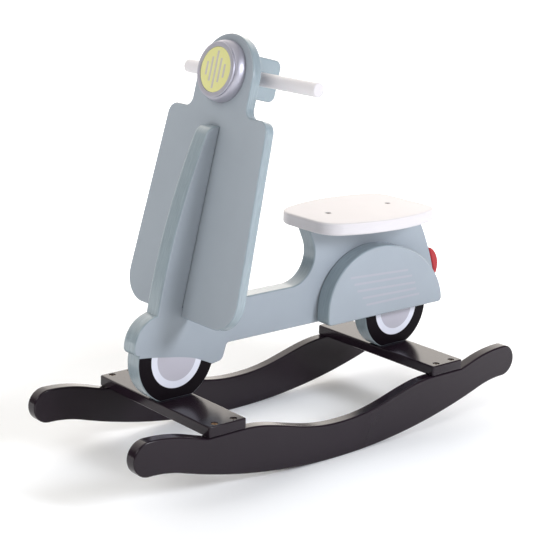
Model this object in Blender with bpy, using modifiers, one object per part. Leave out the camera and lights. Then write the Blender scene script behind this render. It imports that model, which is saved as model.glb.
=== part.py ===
# Rocking scooter toy: an upright scooter cut from board, standing on two rockers.
# Metres, +Z up. The scooter faces -Y and its left side is +X. The origin is on the
# floor, midway between the two rockers and midway between their tips.

from math import asin, atan2, cos, degrees, pi, radians, sin, sqrt, tan

import bmesh
import bpy
from mathutils import Matrix, Vector

# Gap kept between pieces that touch, and how far a cutter starts outside the wood.
CLEAR = 0.0003
OVERCUT = 0.003

# Rockers: a band bent to the rocking arc, with upturned tips and a dipped waist.
ROCKER_THICK = 0.019
ROCKER_SPAN = 0.2668
ROCK_RADIUS = 0.975
ROCK_REACH = 0.296
TIP_REACH = 0.3525
TIP_BAND = 0.0508
WAIST_HEIGHT = 0.0556
WAIST_LENGTHENING = 1.14
PLATE_LIP = 0.001

# Cross plates.
PLATE_THICK = 0.016
PLATE_DEPTH = 0.0655
PLATE_SCREW_PITCH = 0.0335

# Wheel discs, part of the centre board and cut flat where they stand on the plates.
AXLE_Y = 0.220
WHEEL_RADIUS = 0.0673
AXLE_RISE = 0.0610
WHEEL_SCREW_PITCH = 0.030

# Centre board: a sill between the wheels, the floorboard's top, and the seat's bearer.
BOARD_THICK = 0.028
SILL_ABOVE_AXLE = 0.0053
FLOOR_ABOVE_SILL = 0.0649
BEARER_ABOVE_FLOOR = 0.0825
ARCH_FILLET = 0.020
RISER_CENTRE_Y = -0.006
RISER_RADIUS = 0.045
RISER_LEAN = radians(25)

# Tail, behind the rear wheel.
TAIL_OVERHANG = 0.0862
TAIL_CORNER_RADIUS = 0.028
TAIL_CURVE_RADIUS = 0.385
TAIL_TURN = radians(14.3)

# Fender nose, ahead of the front wheel.
NOSE_OVERHANG = 0.0737
NOSE_ABOVE_AXLE = 0.0222
NOSE_RADIUS = 0.046
NOSE_LIP_RADIUS = 0.008

# Fender heel, a rounded toe of the sill that hangs behind the front wheel.
HEEL_BEHIND_AXLE = 0.0756
HEEL_BELOW_AXLE = 0.0102
HEEL_RADIUS = 0.0105
HEEL_LEAN = radians(18)
HEEL_UNDERSIDE_SLOPE = radians(8)
HEEL_FILLET = 0.005

# Fin from the fender nose up the shield's front face.
FIN_RISE = 0.257
FIN_HEAD_DEPTH = 0.0203
FIN_HEAD_DROP = 0.007
FIN_FOOT_TURN = radians(98.7)
FIN_CURVE_RADIUS = 1.050
FIN_CORNER_RADIUS = 0.018

# Leg shield, measured up its slope from where its front face meets the floorboard.
SHIELD_THICK = 0.016
SHIELD_BEHIND_AXLE = 0.0084
SHIELD_LEAN = radians(13.48)
SHIELD_DROP = 0.0111
SHIELD_HALF_WIDTH = 0.129
SHIELD_TAPER = 0.0646
SHOULDER_RISE = 0.2839
SHIELD_CORNER_RADIUS = 0.042
SHOULDER_RADIUS = 0.017
NECK_FILLET = 0.0135
HEAD_RISE = 0.3335
HEAD_RADIUS = 0.0609
SHIELD_SCREW_RISES = (0.045, 0.140, 0.222)

# Handlebar and its block behind the shield's neck.
BAR_RISE = 0.3400
BAR_SETBACK = 0.048
BAR_RADIUS = 0.010
BAR_LENGTH = 0.290
BAR_CHAMFER = 0.0015
BLOCK_THICK = 0.028
BLOCK_REACH = 0.0889
BLOCK_BELOW_BAR = 0.0295
BLOCK_ABOVE_BAR = 0.0312
BLOCK_CORNER_RADIUS = 0.011
BLOCK_SCREW_PITCH = 0.030

# Headlamp: a turned ring whose bulge swells back from a stepped rim, and a flat lens.
LAMP_RISE = 0.3400
LAMP_DEPTH = 0.0185
LAMP_BULGE_RADIUS = 0.0442
LAMP_BULGE_DEPTH = 0.0150
LAMP_GROOVE_RADIUS = 0.0370
LAMP_RIM_RADIUS = 0.0380
LAMP_RIM_EDGE = 0.0009
LENS_EDGE = 0.0006
LENS_RADIUS = 0.0320
LENS_THICK = 0.0060
LENS_SINK = 0.0006
LAMP_DOWEL_SPREAD = 0.048

# Seat board, measured back from its front edge.
SEAT_THICK = 0.019
SEAT_OVERHANG = 0.004
SEAT_LENGTH = 0.2265
SEAT_HALF_WIDTH = 0.085
SEAT_WIDEST_AT = 0.1235
SEAT_SIDE_RADIUS = 0.270
SEAT_FRONT_CORNER = 0.042
SEAT_BACK_CORNER = 0.032
SEAT_BOLTS_AT = (0.0531, 0.1802)

# Cowls, from the sill up: a quarter ellipse before the crest, a slacker curve behind.
COWL_THICK = 0.028
COWL_CREST_AHEAD_OF_AXLE = 0.069
COWL_CREST_RISE = 0.1129
COWL_FRONT_REACH = 0.1045
COWL_FRONT_RISE = 0.0905
COWL_TAIL_REACH = 0.1456
COWL_TAIL_POWER = 1.85
COWL_FRONT_CORNER = 0.008
COWL_TAIL_CORNER = 0.007
# Dowels as a distance behind the crest and a height above the sill.
COWL_DOWEL_PLACES = ((-0.061, 0.024), (0.009, 0.084), (0.094, 0.024))

# Tail lamp, a half-round piece on the tail's edge.
TAIL_LAMP_THICK = 0.028
TAIL_LAMP_ABOVE_SILL = 0.0596
TAIL_LAMP_CHORD = 0.056
TAIL_LAMP_BULGE = 0.0145

# Rounding of the board edges.
BOARD_ROUNDING = 0.0025
COWL_ROUNDING = 0.003
ROCKER_ROUNDING = 0.0025
PLATE_ROUNDING = 0.002
SEAT_ROUNDING = 0.003

# Screws as head radius, shank radius, length and how far the head is sunk. The head
# has a short straight land, a cone and a hexagonal socket, as shares of its radius.
SCREW_SIDES = 12
LAND_SHARE = 0.25
SOCKET_SHARE = 0.42
SOCKET_DEPTH_SHARE = 0.5
PLATE_SCREW = {"head": 0.0048, "shank": 0.0030, "length": 0.050, "sink": 0.0012}
WHEEL_SCREW = {"head": 0.0048, "shank": 0.0030, "length": 0.058, "sink": 0.0012}
BOARD_SCREW = {"head": 0.0042, "shank": 0.0022, "length": 0.036, "sink": 0.0010}
LOCK_SCREW = {"head": 0.0035, "shank": 0.0018, "length": 0.025, "sink": 0.0010}
SEAT_BOLT = {"head": 0.0046, "shank": 0.0030, "length": 0.040, "sink": 0.0010}
INSERT_RADIUS = 0.0050
INSERT_LENGTH = 0.015

# Dowels as radius and length.
COWL_DOWEL = {"radius": 0.0040, "length": 0.056}
LAMP_DOWEL = {"radius": 0.0030, "length": 0.018}
TAIL_DOWEL = {"radius": 0.0030, "length": 0.020, "in_board": 0.014}
DOWEL_CHAMFER = 0.0008
DOWEL_END_ROOM = 0.0005

BLUE = (0.36, 0.45, 0.51)
BLACK = (0.022, 0.019, 0.022)
WHITE = (0.86, 0.85, 0.86)
SILVER = (0.55, 0.54, 0.60)
YELLOW = (0.66, 0.68, 0.25)
RED = (0.62, 0.06, 0.07)
STEEL = (0.50, 0.49, 0.47)
BEECH = (0.62, 0.44, 0.26)

for leftover in list(bpy.data.objects):
    bpy.data.objects.remove(leftover)

PARTS = bpy.data.collections.new("rocking_scooter_toy")
CUTTERS = bpy.data.collections.new("cutters")
for collection in (PARTS, CUTTERS):
    bpy.context.scene.collection.children.link(collection)


# Outlines

def arc(centre, radius, start, end, steps):
    # Points along an arc, angles in degrees, the first and last included.
    turn = [radians(start + (end - start) * i / steps) for i in range(steps + 1)]
    return [(centre[0] + radius * cos(a), centre[1] + radius * sin(a)) for a in turn]


def bearing(start, end):
    # Direction from one point to another, in degrees.
    return degrees(atan2(end[1] - start[1], end[0] - start[0]))


def centre_on_line(circle, reach, height, side):
    # Point at a height and at a reach from a circle's centre, on its +1 or -1 side.
    run = sqrt(reach ** 2 - (height - circle[1]) ** 2)
    return (circle[0] + side * run, height)


def centre_through(first, second, radius):
    # Centre of the arc that turns anticlockwise from the first point to the second.
    half = (Vector(second) - Vector(first)) / 2
    middle = Vector(first) + half
    inward = Vector((-half.y, half.x)).normalized()
    return tuple(middle + inward * sqrt(radius ** 2 - half.length_squared))


def circles_meet(first, first_radius, second, second_radius, side):
    # Where two circles cross, on the +1 (left) or -1 side going first to second.
    gap = Vector(second) - Vector(first)
    along = (gap.length_squared + first_radius ** 2 - second_radius ** 2) / (2 * gap.length)
    across = sqrt(first_radius ** 2 - along ** 2)
    way = gap.normalized()
    return tuple(Vector(first) + way * along + Vector((-way.y, way.x)) * across * side)


def rounded(corners, steps=6):
    # Closed outline from corners of (u, v, radius); a radius of 0 leaves a point.
    points = []
    for i, (u, v, radius) in enumerate(corners):
        here = Vector((u, v))
        if radius == 0:
            points.append((u, v))
            continue
        before = (Vector(corners[i - 1][:2]) - here).normalized()
        after = (Vector(corners[(i + 1) % len(corners)][:2]) - here).normalized()
        half_angle = before.angle(after) / 2
        centre = here + (before + after).normalized() * radius / sin(half_angle)
        start = here + before * radius / tan(half_angle) - centre
        end = here + after * radius / tan(half_angle) - centre
        turn = start.angle_signed(end)
        for step in range(steps + 1):
            spoke = start @ Matrix.Rotation(turn * step / steps, 2)
            points.append(tuple(centre + spoke))
    return points


def mirrored(points):
    return [(-u, v) for u, v in reversed(points)]


# Solids

def material(name, colour, roughness, metallic=0.0):
    made = bpy.data.materials.new(name)
    made.use_nodes = True
    surface = made.node_tree.nodes["Principled BSDF"]
    surface.inputs["Base Color"].default_value = (*colour, 1.0)
    surface.inputs["Roughness"].default_value = roughness
    surface.inputs["Metallic"].default_value = metallic
    return made


def empty(name, location=(0, 0, 0), rotation=(0, 0, 0), parent=None):
    made = bpy.data.objects.new(name, None)
    PARTS.objects.link(made)
    made.location = location
    made.rotation_euler = rotation
    made.parent = parent
    return made


def placed(name, mesh, finish, parent, location=(0, 0, 0), rotation=(0, 0, 0)):
    if not mesh.materials:
        mesh.materials.append(finish)
    made = bpy.data.objects.new(name, mesh)
    PARTS.objects.link(made)
    made.parent = parent
    made.location = location
    made.rotation_euler = rotation
    return made


def evaluated_mesh(source):
    # The mesh of an object with its modifiers, made real; the object is removed.
    bpy.context.view_layer.update()
    made = source.evaluated_get(bpy.context.evaluated_depsgraph_get())
    mesh = bpy.data.meshes.new_from_object(made)
    mesh.name = source.name
    bpy.data.objects.remove(source)
    return mesh


def board_mesh(name, outline, thickness, crisp):
    # Flat board with one face each side, and bevel weights on the rims of both. Rims that
    # lie within a reach of the middle and below a height, given as crisp, stay sharp.
    curve = bpy.data.curves.new(name, 'CURVE')
    curve.dimensions = '2D'
    curve.fill_mode = 'BOTH'
    curve.extrude = thickness / 2
    spline = curve.splines.new('POLY')
    spline.points.add(len(outline) - 1)
    for point, (u, v) in zip(spline.points, outline):
        point.co = (u, v, 0, 1)
    spline.use_cyclic_u = True
    flat = bpy.data.objects.new(name, curve)
    CUTTERS.objects.link(flat)
    mesh = evaluated_mesh(flat)
    shape = bmesh.new()
    shape.from_mesh(mesh)
    bmesh.ops.remove_doubles(shape, verts=shape.verts, dist=0.00001)
    bmesh.ops.recalc_face_normals(shape, faces=shape.faces)
    inner = [edge for edge in shape.edges if all(abs(f.normal.z) > 0.9 for f in edge.link_faces)]
    bmesh.ops.dissolve_edges(shape, edges=inner)
    weight = shape.edges.layers.float.new("bevel_weight_edge")
    for edge in shape.edges:
        on_rim = any(abs(face.normal.z) > 0.9 for face in edge.link_faces)
        stays = all(abs(vert.co.x) < crisp[0] and vert.co.y < crisp[1] for vert in edge.verts)
        if on_rim and not stays:
            edge[weight] = 1.0
    shape.to_mesh(mesh)
    shape.free()
    return mesh


def round_edges(made, width, segments=2):
    bevel = made.modifiers.new("rounded_edges", 'BEVEL')
    bevel.width = width
    bevel.segments = segments
    bevel.limit_method = 'WEIGHT'


def board(name, outline, thickness, rounding, finish, parent, location=(0, 0, 0), rotation=(0, 0, 0),
          crisp=(0, 0)):
    made = placed(name, board_mesh(name, outline, thickness, crisp), finish, parent, location, rotation)
    round_edges(made, rounding)
    return made


def turned_mesh(name, profile, sides, closed=False):
    # Solid of revolution from (radius, height) points that run down its outer side.
    outline = bpy.data.meshes.new(name)
    links = [(i, i + 1) for i in range(len(profile) - 1)]
    if closed:
        links.append((len(profile) - 1, 0))
    outline.from_pydata([(radius, 0, height) for radius, height in profile], links, [])
    lathe = bpy.data.objects.new(name, outline)
    CUTTERS.objects.link(lathe)
    screw = lathe.modifiers.new("turn", 'SCREW')
    screw.steps = sides
    screw.render_steps = sides
    screw.use_merge_vertices = True
    screw.merge_threshold = 0.00001
    mesh = evaluated_mesh(lathe)
    mesh.shade_smooth()
    mesh.set_sharp_from_angle(angle=radians(35))
    return mesh


def cut(name, targets, mesh, parent, placements):
    # One cutter holding a copy of a mesh at each placement, taken out of every target.
    shape = bmesh.new()
    for location, rotation in placements:
        known = len(shape.verts)
        shape.from_mesh(mesh)
        shape.verts.ensure_lookup_table()
        turn = Matrix.Rotation(rotation[1], 4, 'Y') @ Matrix.Rotation(rotation[0], 4, 'X')
        bmesh.ops.transform(shape, matrix=Matrix.Translation(location) @ turn, verts=shape.verts[known:])
    cutter_mesh = bpy.data.meshes.new(name)
    shape.to_mesh(cutter_mesh)
    shape.free()
    cutter = bpy.data.objects.new(name, cutter_mesh)
    CUTTERS.objects.link(cutter)
    cutter.parent = parent
    cutter.hide_render = True
    cutter.display_type = 'WIRE'
    for target in targets:
        opening = target.modifiers.new(name, 'BOOLEAN')
        opening.operation = 'DIFFERENCE'
        opening.object = cutter


def screw_profile(size, spare=0.0, above=0.0):
    # Countersunk screw from its head down; with spare it is the hole for that screw.
    head, shank = size["head"] + spare, size["shank"] + spare
    land = size["head"] * LAND_SHARE
    taper = size["head"] - size["shank"]
    end = -size["length"] - spare
    top = [(0, above), (head, above)]
    return top + [(head, -land), (shank, -land - taper), (shank, end), (0, end)]


def screws(names, size, parent, placements, targets):
    # Sunk screws with hexagonal sockets, and their holes in the pieces they join.
    blank_mesh = turned_mesh("blank", screw_profile(size), SCREW_SIDES)
    blank = bpy.data.objects.new(names[0], blank_mesh)
    CUTTERS.objects.link(blank)
    socket = bmesh.new()
    width = size["head"] * SOCKET_SHARE
    bmesh.ops.create_cone(socket, cap_ends=True, segments=6, radius1=width, radius2=width,
                          depth=2 * size["head"] * SOCKET_DEPTH_SHARE)
    socket_mesh = bpy.data.meshes.new("socket")
    socket.to_mesh(socket_mesh)
    socket.free()
    hexagon = bpy.data.objects.new("socket", socket_mesh)
    CUTTERS.objects.link(hexagon)
    recess = blank.modifiers.new("socket", 'BOOLEAN')
    recess.object = hexagon
    mesh = evaluated_mesh(blank)
    bpy.data.objects.remove(hexagon)
    for name, (location, rotation) in zip(names, placements):
        placed(name, mesh, STEEL_FINISH, parent, location, rotation)
    hole = turned_mesh("hole", screw_profile(size, CLEAR, size["sink"] + OVERCUT), SCREW_SIDES)
    cut(names[0] + "_holes", targets, hole, parent, placements)


def dowels(names, size, parent, placements, targets):
    # Chamfered dowels about the middle of their length, and their blind holes.
    radius, half = size["radius"], size["length"] / 2
    slim = radius - DOWEL_CHAMFER
    profile = [(0, half), (slim, half), (radius, half - DOWEL_CHAMFER)]
    mesh = turned_mesh(names[0], profile + [(r, -h) for r, h in reversed(profile)], SCREW_SIDES)
    for name, (location, rotation) in zip(names, placements):
        placed(name, mesh, BEECH_FINISH, parent, location, rotation)
    wide, deep = radius + CLEAR, half + DOWEL_END_ROOM
    hole = turned_mesh("hole", [(0, deep), (wide, deep), (wide, -deep), (0, -deep)], SCREW_SIDES)
    cut(names[0] + "_holes", targets, hole, parent, placements)


# Heights and places that follow from the sizes above

HALF_TURN = radians(180)
TIP_TURN = asin(ROCK_REACH / ROCK_RADIUS)
PLATE_OUTER_Y = AXLE_Y + PLATE_DEPTH / 2
PLATE_INNER_Y = AXLE_Y - PLATE_DEPTH / 2
RAIL_END_Y = PLATE_OUTER_Y + PLATE_LIP
RAIL_HEIGHT = ROCK_RADIUS - sqrt((ROCK_RADIUS - TIP_BAND) ** 2 - RAIL_END_Y ** 2)
PLATE_BOTTOM = RAIL_HEIGHT + CLEAR
PLATE_TOP = PLATE_BOTTOM + PLATE_THICK
WHEEL_BOTTOM = PLATE_TOP + CLEAR
AXLE_HEIGHT = WHEEL_BOTTOM + AXLE_RISE
ROCKER_X = (ROCKER_SPAN - ROCKER_THICK) / 2
SILL_HEIGHT = AXLE_HEIGHT + SILL_ABOVE_AXLE
FLOOR_HEIGHT = SILL_HEIGHT + FLOOR_ABOVE_SILL
BEARER_HEIGHT = FLOOR_HEIGHT + BEARER_ABOVE_FLOOR
SHIELD_FOOT_Y = SHIELD_BEHIND_AXLE - AXLE_Y
# How far up its slope the shield's back meets the floorboard; its notch ends just above.
NOTCH_RISE = SHIELD_THICK * tan(SHIELD_LEAN)
TAIL_CORNER = (AXLE_Y + TAIL_OVERHANG - TAIL_CORNER_RADIUS, SILL_HEIGHT + TAIL_CORNER_RADIUS)
COWL_CREST_Y = AXLE_Y - COWL_CREST_AHEAD_OF_AXLE
BROW_Y = RISER_CENTRE_Y + RISER_RADIUS * cos(RISER_LEAN)
BROW_HEIGHT = FLOOR_HEIGHT + RISER_RADIUS * (1 + sin(RISER_LEAN))
BEARER_FRONT_Y = BROW_Y - (BEARER_HEIGHT - BROW_HEIGHT) * tan(RISER_LEAN)
SEAT_FRONT_Y = BEARER_FRONT_Y - SEAT_OVERHANG

BLUE_FINISH = material("blue_lacquer", BLUE, 0.45)
BLACK_FINISH = material("black_lacquer", BLACK, 0.30)
WHITE_FINISH = material("white_lacquer", WHITE, 0.35)
SILVER_FINISH = material("silver_lacquer", SILVER, 0.30, 0.6)
YELLOW_FINISH = material("yellow_lens", YELLOW, 0.35)
RED_FINISH = material("red_lens", RED, 0.30)
STEEL_FINISH = material("screw_steel", STEEL, 0.35, 1.0)
BEECH_FINISH = material("beech_dowel", BEECH, 0.60)

TOY = empty("toy_frame")
# Side profiles are drawn with u along +Y and v along +Z, and are thick along X.
SIDE = empty("side_frame", rotation=(radians(90), 0, radians(90)), parent=TOY)
# The shield's frame lies in its front face: x across, y up the slope, z to the front.
SLOPE = empty("shield_frame", (0, SHIELD_FOOT_Y, FLOOR_HEIGHT),
              (radians(90) - SHIELD_LEAN, 0, 0), TOY)


def rocker_outline():
    # The middle facet of the underside lies flat on the floor.
    facets = 23
    low = degrees(TIP_TURN)
    centre = (0, ROCK_RADIUS * cos(TIP_TURN / facets))
    turn_reach = TIP_REACH / sin(TIP_TURN)
    turn_centre = (TIP_REACH, centre[1] - turn_reach * cos(TIP_TURN))
    turn_radius = turn_reach - ROCK_RADIUS
    tip = (TIP_REACH, turn_centre[1] + turn_radius + TIP_BAND / 2)
    half = arc(centre, ROCK_RADIUS, -90 + low / facets, -90 + low, facets // 2)
    half += arc(turn_centre, turn_radius, 90 + low, 90, 4)[1:]
    half += arc(tip, TIP_BAND / 2, -90, 90, 10)[1:]
    half += arc(turn_centre, turn_radius + TIP_BAND, 90, 90 + low, 4)[1:]
    rail_end = degrees(asin(RAIL_END_Y / (ROCK_RADIUS - TIP_BAND)))
    half += arc((0, ROCK_RADIUS), ROCK_RADIUS - TIP_BAND, -90 + low, -90 + rail_end, 2)[1:]
    half.append((PLATE_INNER_Y, RAIL_HEIGHT))
    dip = RAIL_HEIGHT - WAIST_HEIGHT
    steps = 11
    for i in range(steps - 1, 0, -1):
        share = i / steps
        swell = (1 - cos(pi * share ** WAIST_LENGTHENING)) / 2
        half.append((PLATE_INNER_Y * share, WAIST_HEIGHT + dip * swell))
    return half + [(0, WAIST_HEIGHT)] + mirrored(half)


def make_rockers():
    outline = rocker_outline()
    return [
        board(name, outline, ROCKER_THICK, ROCKER_ROUNDING, BLACK_FINISH, SIDE, (0, 0, x))
        for name, x in (("rocker_left", ROCKER_X), ("rocker_right", -ROCKER_X))
    ]


def make_plates():
    half_width, half_depth = ROCKER_SPAN / 2, PLATE_DEPTH / 2
    outline = [(-half_width, -half_depth), (half_width, -half_depth),
               (half_width, half_depth), (-half_width, half_depth)]
    height = PLATE_BOTTOM + PLATE_THICK / 2
    return [
        board(name, outline, PLATE_THICK, PLATE_ROUNDING, BLACK_FINISH, TOY, (0, y, height))
        for name, y in (("plate_front", -AXLE_Y), ("plate_rear", AXLE_Y))
    ]


def centre_board_outline():
    front_axle, rear_axle = (-AXLE_Y, AXLE_HEIGHT), (AXLE_Y, AXLE_HEIGHT)
    flat = degrees(asin(AXLE_RISE / WHEEL_RADIUS))
    heel = (HEEL_BEHIND_AXLE - AXLE_Y, AXLE_HEIGHT - HEEL_BELOW_AXLE)

    # Sill between the wheels, from the fender heel to the arch over the rear wheel.
    arch = centre_on_line(rear_axle, WHEEL_RADIUS + ARCH_FILLET, SILL_HEIGHT - ARCH_FILLET, -1)
    points = arc(front_axle, WHEEL_RADIUS, -flat, heel_tuck(front_axle, heel), 7)
    lean = degrees(HEEL_LEAN)
    points += arc(heel, HEEL_RADIUS, degrees(HEEL_UNDERSIDE_SLOPE) - 90, -lean, 5)
    points += arc(heel_fillet(heel), HEEL_FILLET, 180 - lean, 90, 4)
    meet = bearing(arch, rear_axle)
    points += arc(arch, ARCH_FILLET, 90, meet, 7)
    points += arc(rear_axle, WHEEL_RADIUS, 180 + meet, 180 + flat, 8)[1:]

    # Back of the rear wheel and the tail.
    notch = circles_meet(rear_axle, WHEEL_RADIUS, TAIL_CORNER, TAIL_CORNER_RADIUS, -1)
    points += arc(rear_axle, WHEEL_RADIUS, -flat, bearing(rear_axle, notch), 10)
    points += arc(TAIL_CORNER, TAIL_CORNER_RADIUS, bearing(TAIL_CORNER, notch), degrees(TAIL_TURN), 6)[1:]
    centre = tail_curve_centre()
    top = degrees(asin((BEARER_HEIGHT - centre[1]) / TAIL_CURVE_RADIUS))
    points += arc(centre, TAIL_CURVE_RADIUS, degrees(TAIL_TURN), top, 7)[1:]

    # Riser under the seat's front, leaning forward above its hollow.
    points.append((BEARER_FRONT_Y, BEARER_HEIGHT))
    points += arc((RISER_CENTRE_Y, FLOOR_HEIGHT + RISER_RADIUS), RISER_RADIUS, degrees(RISER_LEAN), -90, 12)

    # Fin in front of the shield, with its back edge along the shield's front face.
    fin_height = FLOOR_HEIGHT + FIN_RISE
    head_height = fin_height - FIN_HEAD_DROP
    head = (fin_back(head_height)[0] - FIN_HEAD_DEPTH, head_height)
    nose = (NOSE_RADIUS - NOSE_OVERHANG - AXLE_Y, AXLE_HEIGHT + NOSE_ABOVE_AXLE)
    foot = (nose[0] + NOSE_RADIUS * cos(FIN_FOOT_TURN), nose[1] + NOSE_RADIUS * sin(FIN_FOOT_TURN))
    fin = centre_through(head, foot, FIN_CURVE_RADIUS)
    corner = centre_on_line(fin, FIN_CURVE_RADIUS - FIN_CORNER_RADIUS, fin_height - FIN_CORNER_RADIUS, -1)
    points += [in_side_view(NOTCH_RISE, SHIELD_THICK), in_side_view(NOTCH_RISE, -CLEAR), fin_back(fin_height)]
    points += arc(corner, FIN_CORNER_RADIUS, 90, bearing(fin, corner) % 360, 6)
    points += arc(fin, FIN_CURVE_RADIUS, bearing(fin, corner) % 360, bearing(fin, foot) % 360, 10)[1:]

    # Fender nose and the front of the wheel.
    points += arc(nose, NOSE_RADIUS, degrees(FIN_FOOT_TURN), 180, 7)[1:]
    lip = (nose[0] + NOSE_LIP_RADIUS - NOSE_RADIUS, nose[1])
    tuck = circles_meet(front_axle, WHEEL_RADIUS, lip, NOSE_LIP_RADIUS, 1)
    points += arc(lip, NOSE_LIP_RADIUS, 180, bearing(lip, tuck) % 360, 4)[1:]
    points += arc(front_axle, WHEEL_RADIUS, bearing(front_axle, tuck) % 360, 180 + flat, 10)[1:]
    return points


def heel_tuck(axle, heel):
    # Bearing from the axle to where the line along the heel's underside reaches the wheel.
    way = Vector((cos(HEEL_UNDERSIDE_SLOPE), sin(HEEL_UNDERSIDE_SLOPE)))
    start = Vector(heel) + HEEL_RADIUS * Vector((way.y, -way.x))
    spoke = start - Vector(axle)
    ahead = spoke.dot(way)
    back = ahead - sqrt(WHEEL_RADIUS ** 2 - spoke.length_squared + ahead ** 2)
    return bearing(axle, start - way * back)


def heel_fillet(heel):
    # Centre of the hollow between the heel's leaning back and the sill.
    height = SILL_HEIGHT - HEEL_FILLET
    reach = HEEL_RADIUS + HEEL_FILLET + (height - heel[1]) * sin(HEEL_LEAN)
    return (heel[0] + reach / cos(HEEL_LEAN), height)


def tail_curve_centre():
    # Centre of the tail's long curve, which runs on smoothly from its lower corner.
    reach = TAIL_CURVE_RADIUS - TAIL_CORNER_RADIUS
    return (TAIL_CORNER[0] - reach * cos(TAIL_TURN), TAIL_CORNER[1] - reach * sin(TAIL_TURN))


def fin_back(height):
    gap = CLEAR / cos(SHIELD_LEAN)
    return (SHIELD_FOOT_Y - gap + (height - FLOOR_HEIGHT) * tan(SHIELD_LEAN), height)


def in_side_view(rise, depth):
    # A point up the shield's slope and behind its front face, as a place in the side view.
    return (SHIELD_FOOT_Y + rise * sin(SHIELD_LEAN) + depth * cos(SHIELD_LEAN),
            FLOOR_HEIGHT + rise * cos(SHIELD_LEAN) - depth * sin(SHIELD_LEAN))


def make_centre_board():
    return board("centre_board", centre_board_outline(), BOARD_THICK, BOARD_ROUNDING, BLUE_FINISH, SIDE)


def leg_shield_outline(notch_half, notch_top):
    shoulder_half = SHIELD_HALF_WIDTH - SHIELD_TAPER * (SHOULDER_RISE + SHIELD_DROP)
    right = rounded([
        (notch_half, notch_top, 0),
        (notch_half, -SHIELD_DROP, 0),
        (SHIELD_HALF_WIDTH, -SHIELD_DROP, SHIELD_CORNER_RADIUS),
        (shoulder_half, SHOULDER_RISE, SHOULDER_RADIUS),
        (HEAD_RADIUS, SHOULDER_RISE, NECK_FILLET),
        (HEAD_RADIUS, HEAD_RISE, 0),
    ])
    head = arc((0, HEAD_RISE), HEAD_RADIUS, 0, 180, 20)[1:-1]
    return right + head + mirrored(right)


def make_leg_shield():
    notch_half, notch_top = BOARD_THICK / 2 + CLEAR, NOTCH_RISE + CLEAR
    outline = leg_shield_outline(notch_half, notch_top)
    return board("leg_shield", outline, SHIELD_THICK, BOARD_ROUNDING, BLUE_FINISH, SLOPE,
                 (0, 0, -SHIELD_THICK / 2), crisp=(notch_half + CLEAR, notch_top + CLEAR))


def make_handlebar(shield):
    front = SHIELD_THICK + CLEAR
    low, high = BAR_RISE - BLOCK_BELOW_BAR, BAR_RISE + BLOCK_ABOVE_BAR
    outline = rounded([(front, low, 0), (BLOCK_REACH, low, BLOCK_CORNER_RADIUS),
                       (BLOCK_REACH, high, BLOCK_CORNER_RADIUS), (front, high, 0)])
    across = (0, radians(90), 0)
    block = board("handlebar_block", outline, BLOCK_THICK, BOARD_ROUNDING, BLUE_FINISH, SLOPE,
                  rotation=across)
    half = BAR_LENGTH / 2
    profile = [(0, half), (BAR_RADIUS - BAR_CHAMFER, half), (BAR_RADIUS, half - BAR_CHAMFER)]
    bar_mesh = turned_mesh("bar", profile + [(r, -h) for r, h in reversed(profile)], 24)
    centre = (0, BAR_RISE, -BAR_SETBACK)
    bar = placed("handlebar_rod", bar_mesh, WHITE_FINISH, SLOPE, centre, across)
    bore_radius, bore_half = BAR_RADIUS + CLEAR, BLOCK_THICK / 2 + OVERCUT
    bore = turned_mesh("bore", [(0, bore_half), (bore_radius, bore_half),
                                (bore_radius, -bore_half), (0, -bore_half)], 24)
    cut("bar_bore", [block], bore, SLOPE, [(centre, across)])

    spots = [(0, BAR_RISE + side * BLOCK_SCREW_PITCH / 2, -BOARD_SCREW["sink"]) for side in (-1, 1)]
    screws(["block_screw_1", "block_screw_2"], BOARD_SCREW, SLOPE,
           [(spot, (0, 0, 0)) for spot in spots], [shield, block])
    below = (0, low + LOCK_SCREW["sink"], -BAR_SETBACK)
    screws(["handlebar_lock_screw"], LOCK_SCREW, SLOPE, [(below, (radians(90), 0, 0))], [block, bar])


def make_headlamp(shield):
    lens_floor = LAMP_DEPTH - LENS_SINK - LENS_THICK - CLEAR
    bulge = LAMP_BULGE_RADIUS - LAMP_GROOVE_RADIUS
    swell = []
    steps = 6
    for i in range(1, steps):
        turn = radians(90 * i / steps)
        swell.append((LAMP_GROOVE_RADIUS + bulge * sin(turn), LAMP_BULGE_DEPTH * cos(turn)))
    profile = [
        (LENS_RADIUS + CLEAR, LAMP_DEPTH),
        (LAMP_RIM_RADIUS - LAMP_RIM_EDGE, LAMP_DEPTH),
        (LAMP_RIM_RADIUS, LAMP_DEPTH - LAMP_RIM_EDGE),
        (LAMP_RIM_RADIUS, LAMP_BULGE_DEPTH + LAMP_RIM_EDGE),
        (LAMP_GROOVE_RADIUS, LAMP_BULGE_DEPTH),
    ]
    profile += swell
    profile += [(LAMP_BULGE_RADIUS, 0), (0, 0)]
    profile = [(0, lens_floor), (LENS_RADIUS + CLEAR, lens_floor)] + profile
    ring_mesh = turned_mesh("ring", profile, 32)
    ring = placed("headlamp_ring", ring_mesh, SILVER_FINISH, SLOPE, (0, LAMP_RISE, CLEAR))
    lens_profile = [(0, LENS_THICK), (LENS_RADIUS - LENS_EDGE, LENS_THICK),
                    (LENS_RADIUS, LENS_THICK - LENS_EDGE), (LENS_RADIUS, 0), (0, 0)]
    lens_mesh = turned_mesh("lens", lens_profile, 32)
    placed("headlamp_lens", lens_mesh, YELLOW_FINISH, SLOPE, (0, LAMP_RISE, 2 * CLEAR + lens_floor))
    spots = [(side * LAMP_DOWEL_SPREAD / 2, LAMP_RISE, 0) for side in (-1, 1)]
    dowels(["headlamp_dowel_1", "headlamp_dowel_2"], LAMP_DOWEL, SLOPE,
           [(spot, (0, 0, 0)) for spot in spots], [shield, ring])


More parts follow.
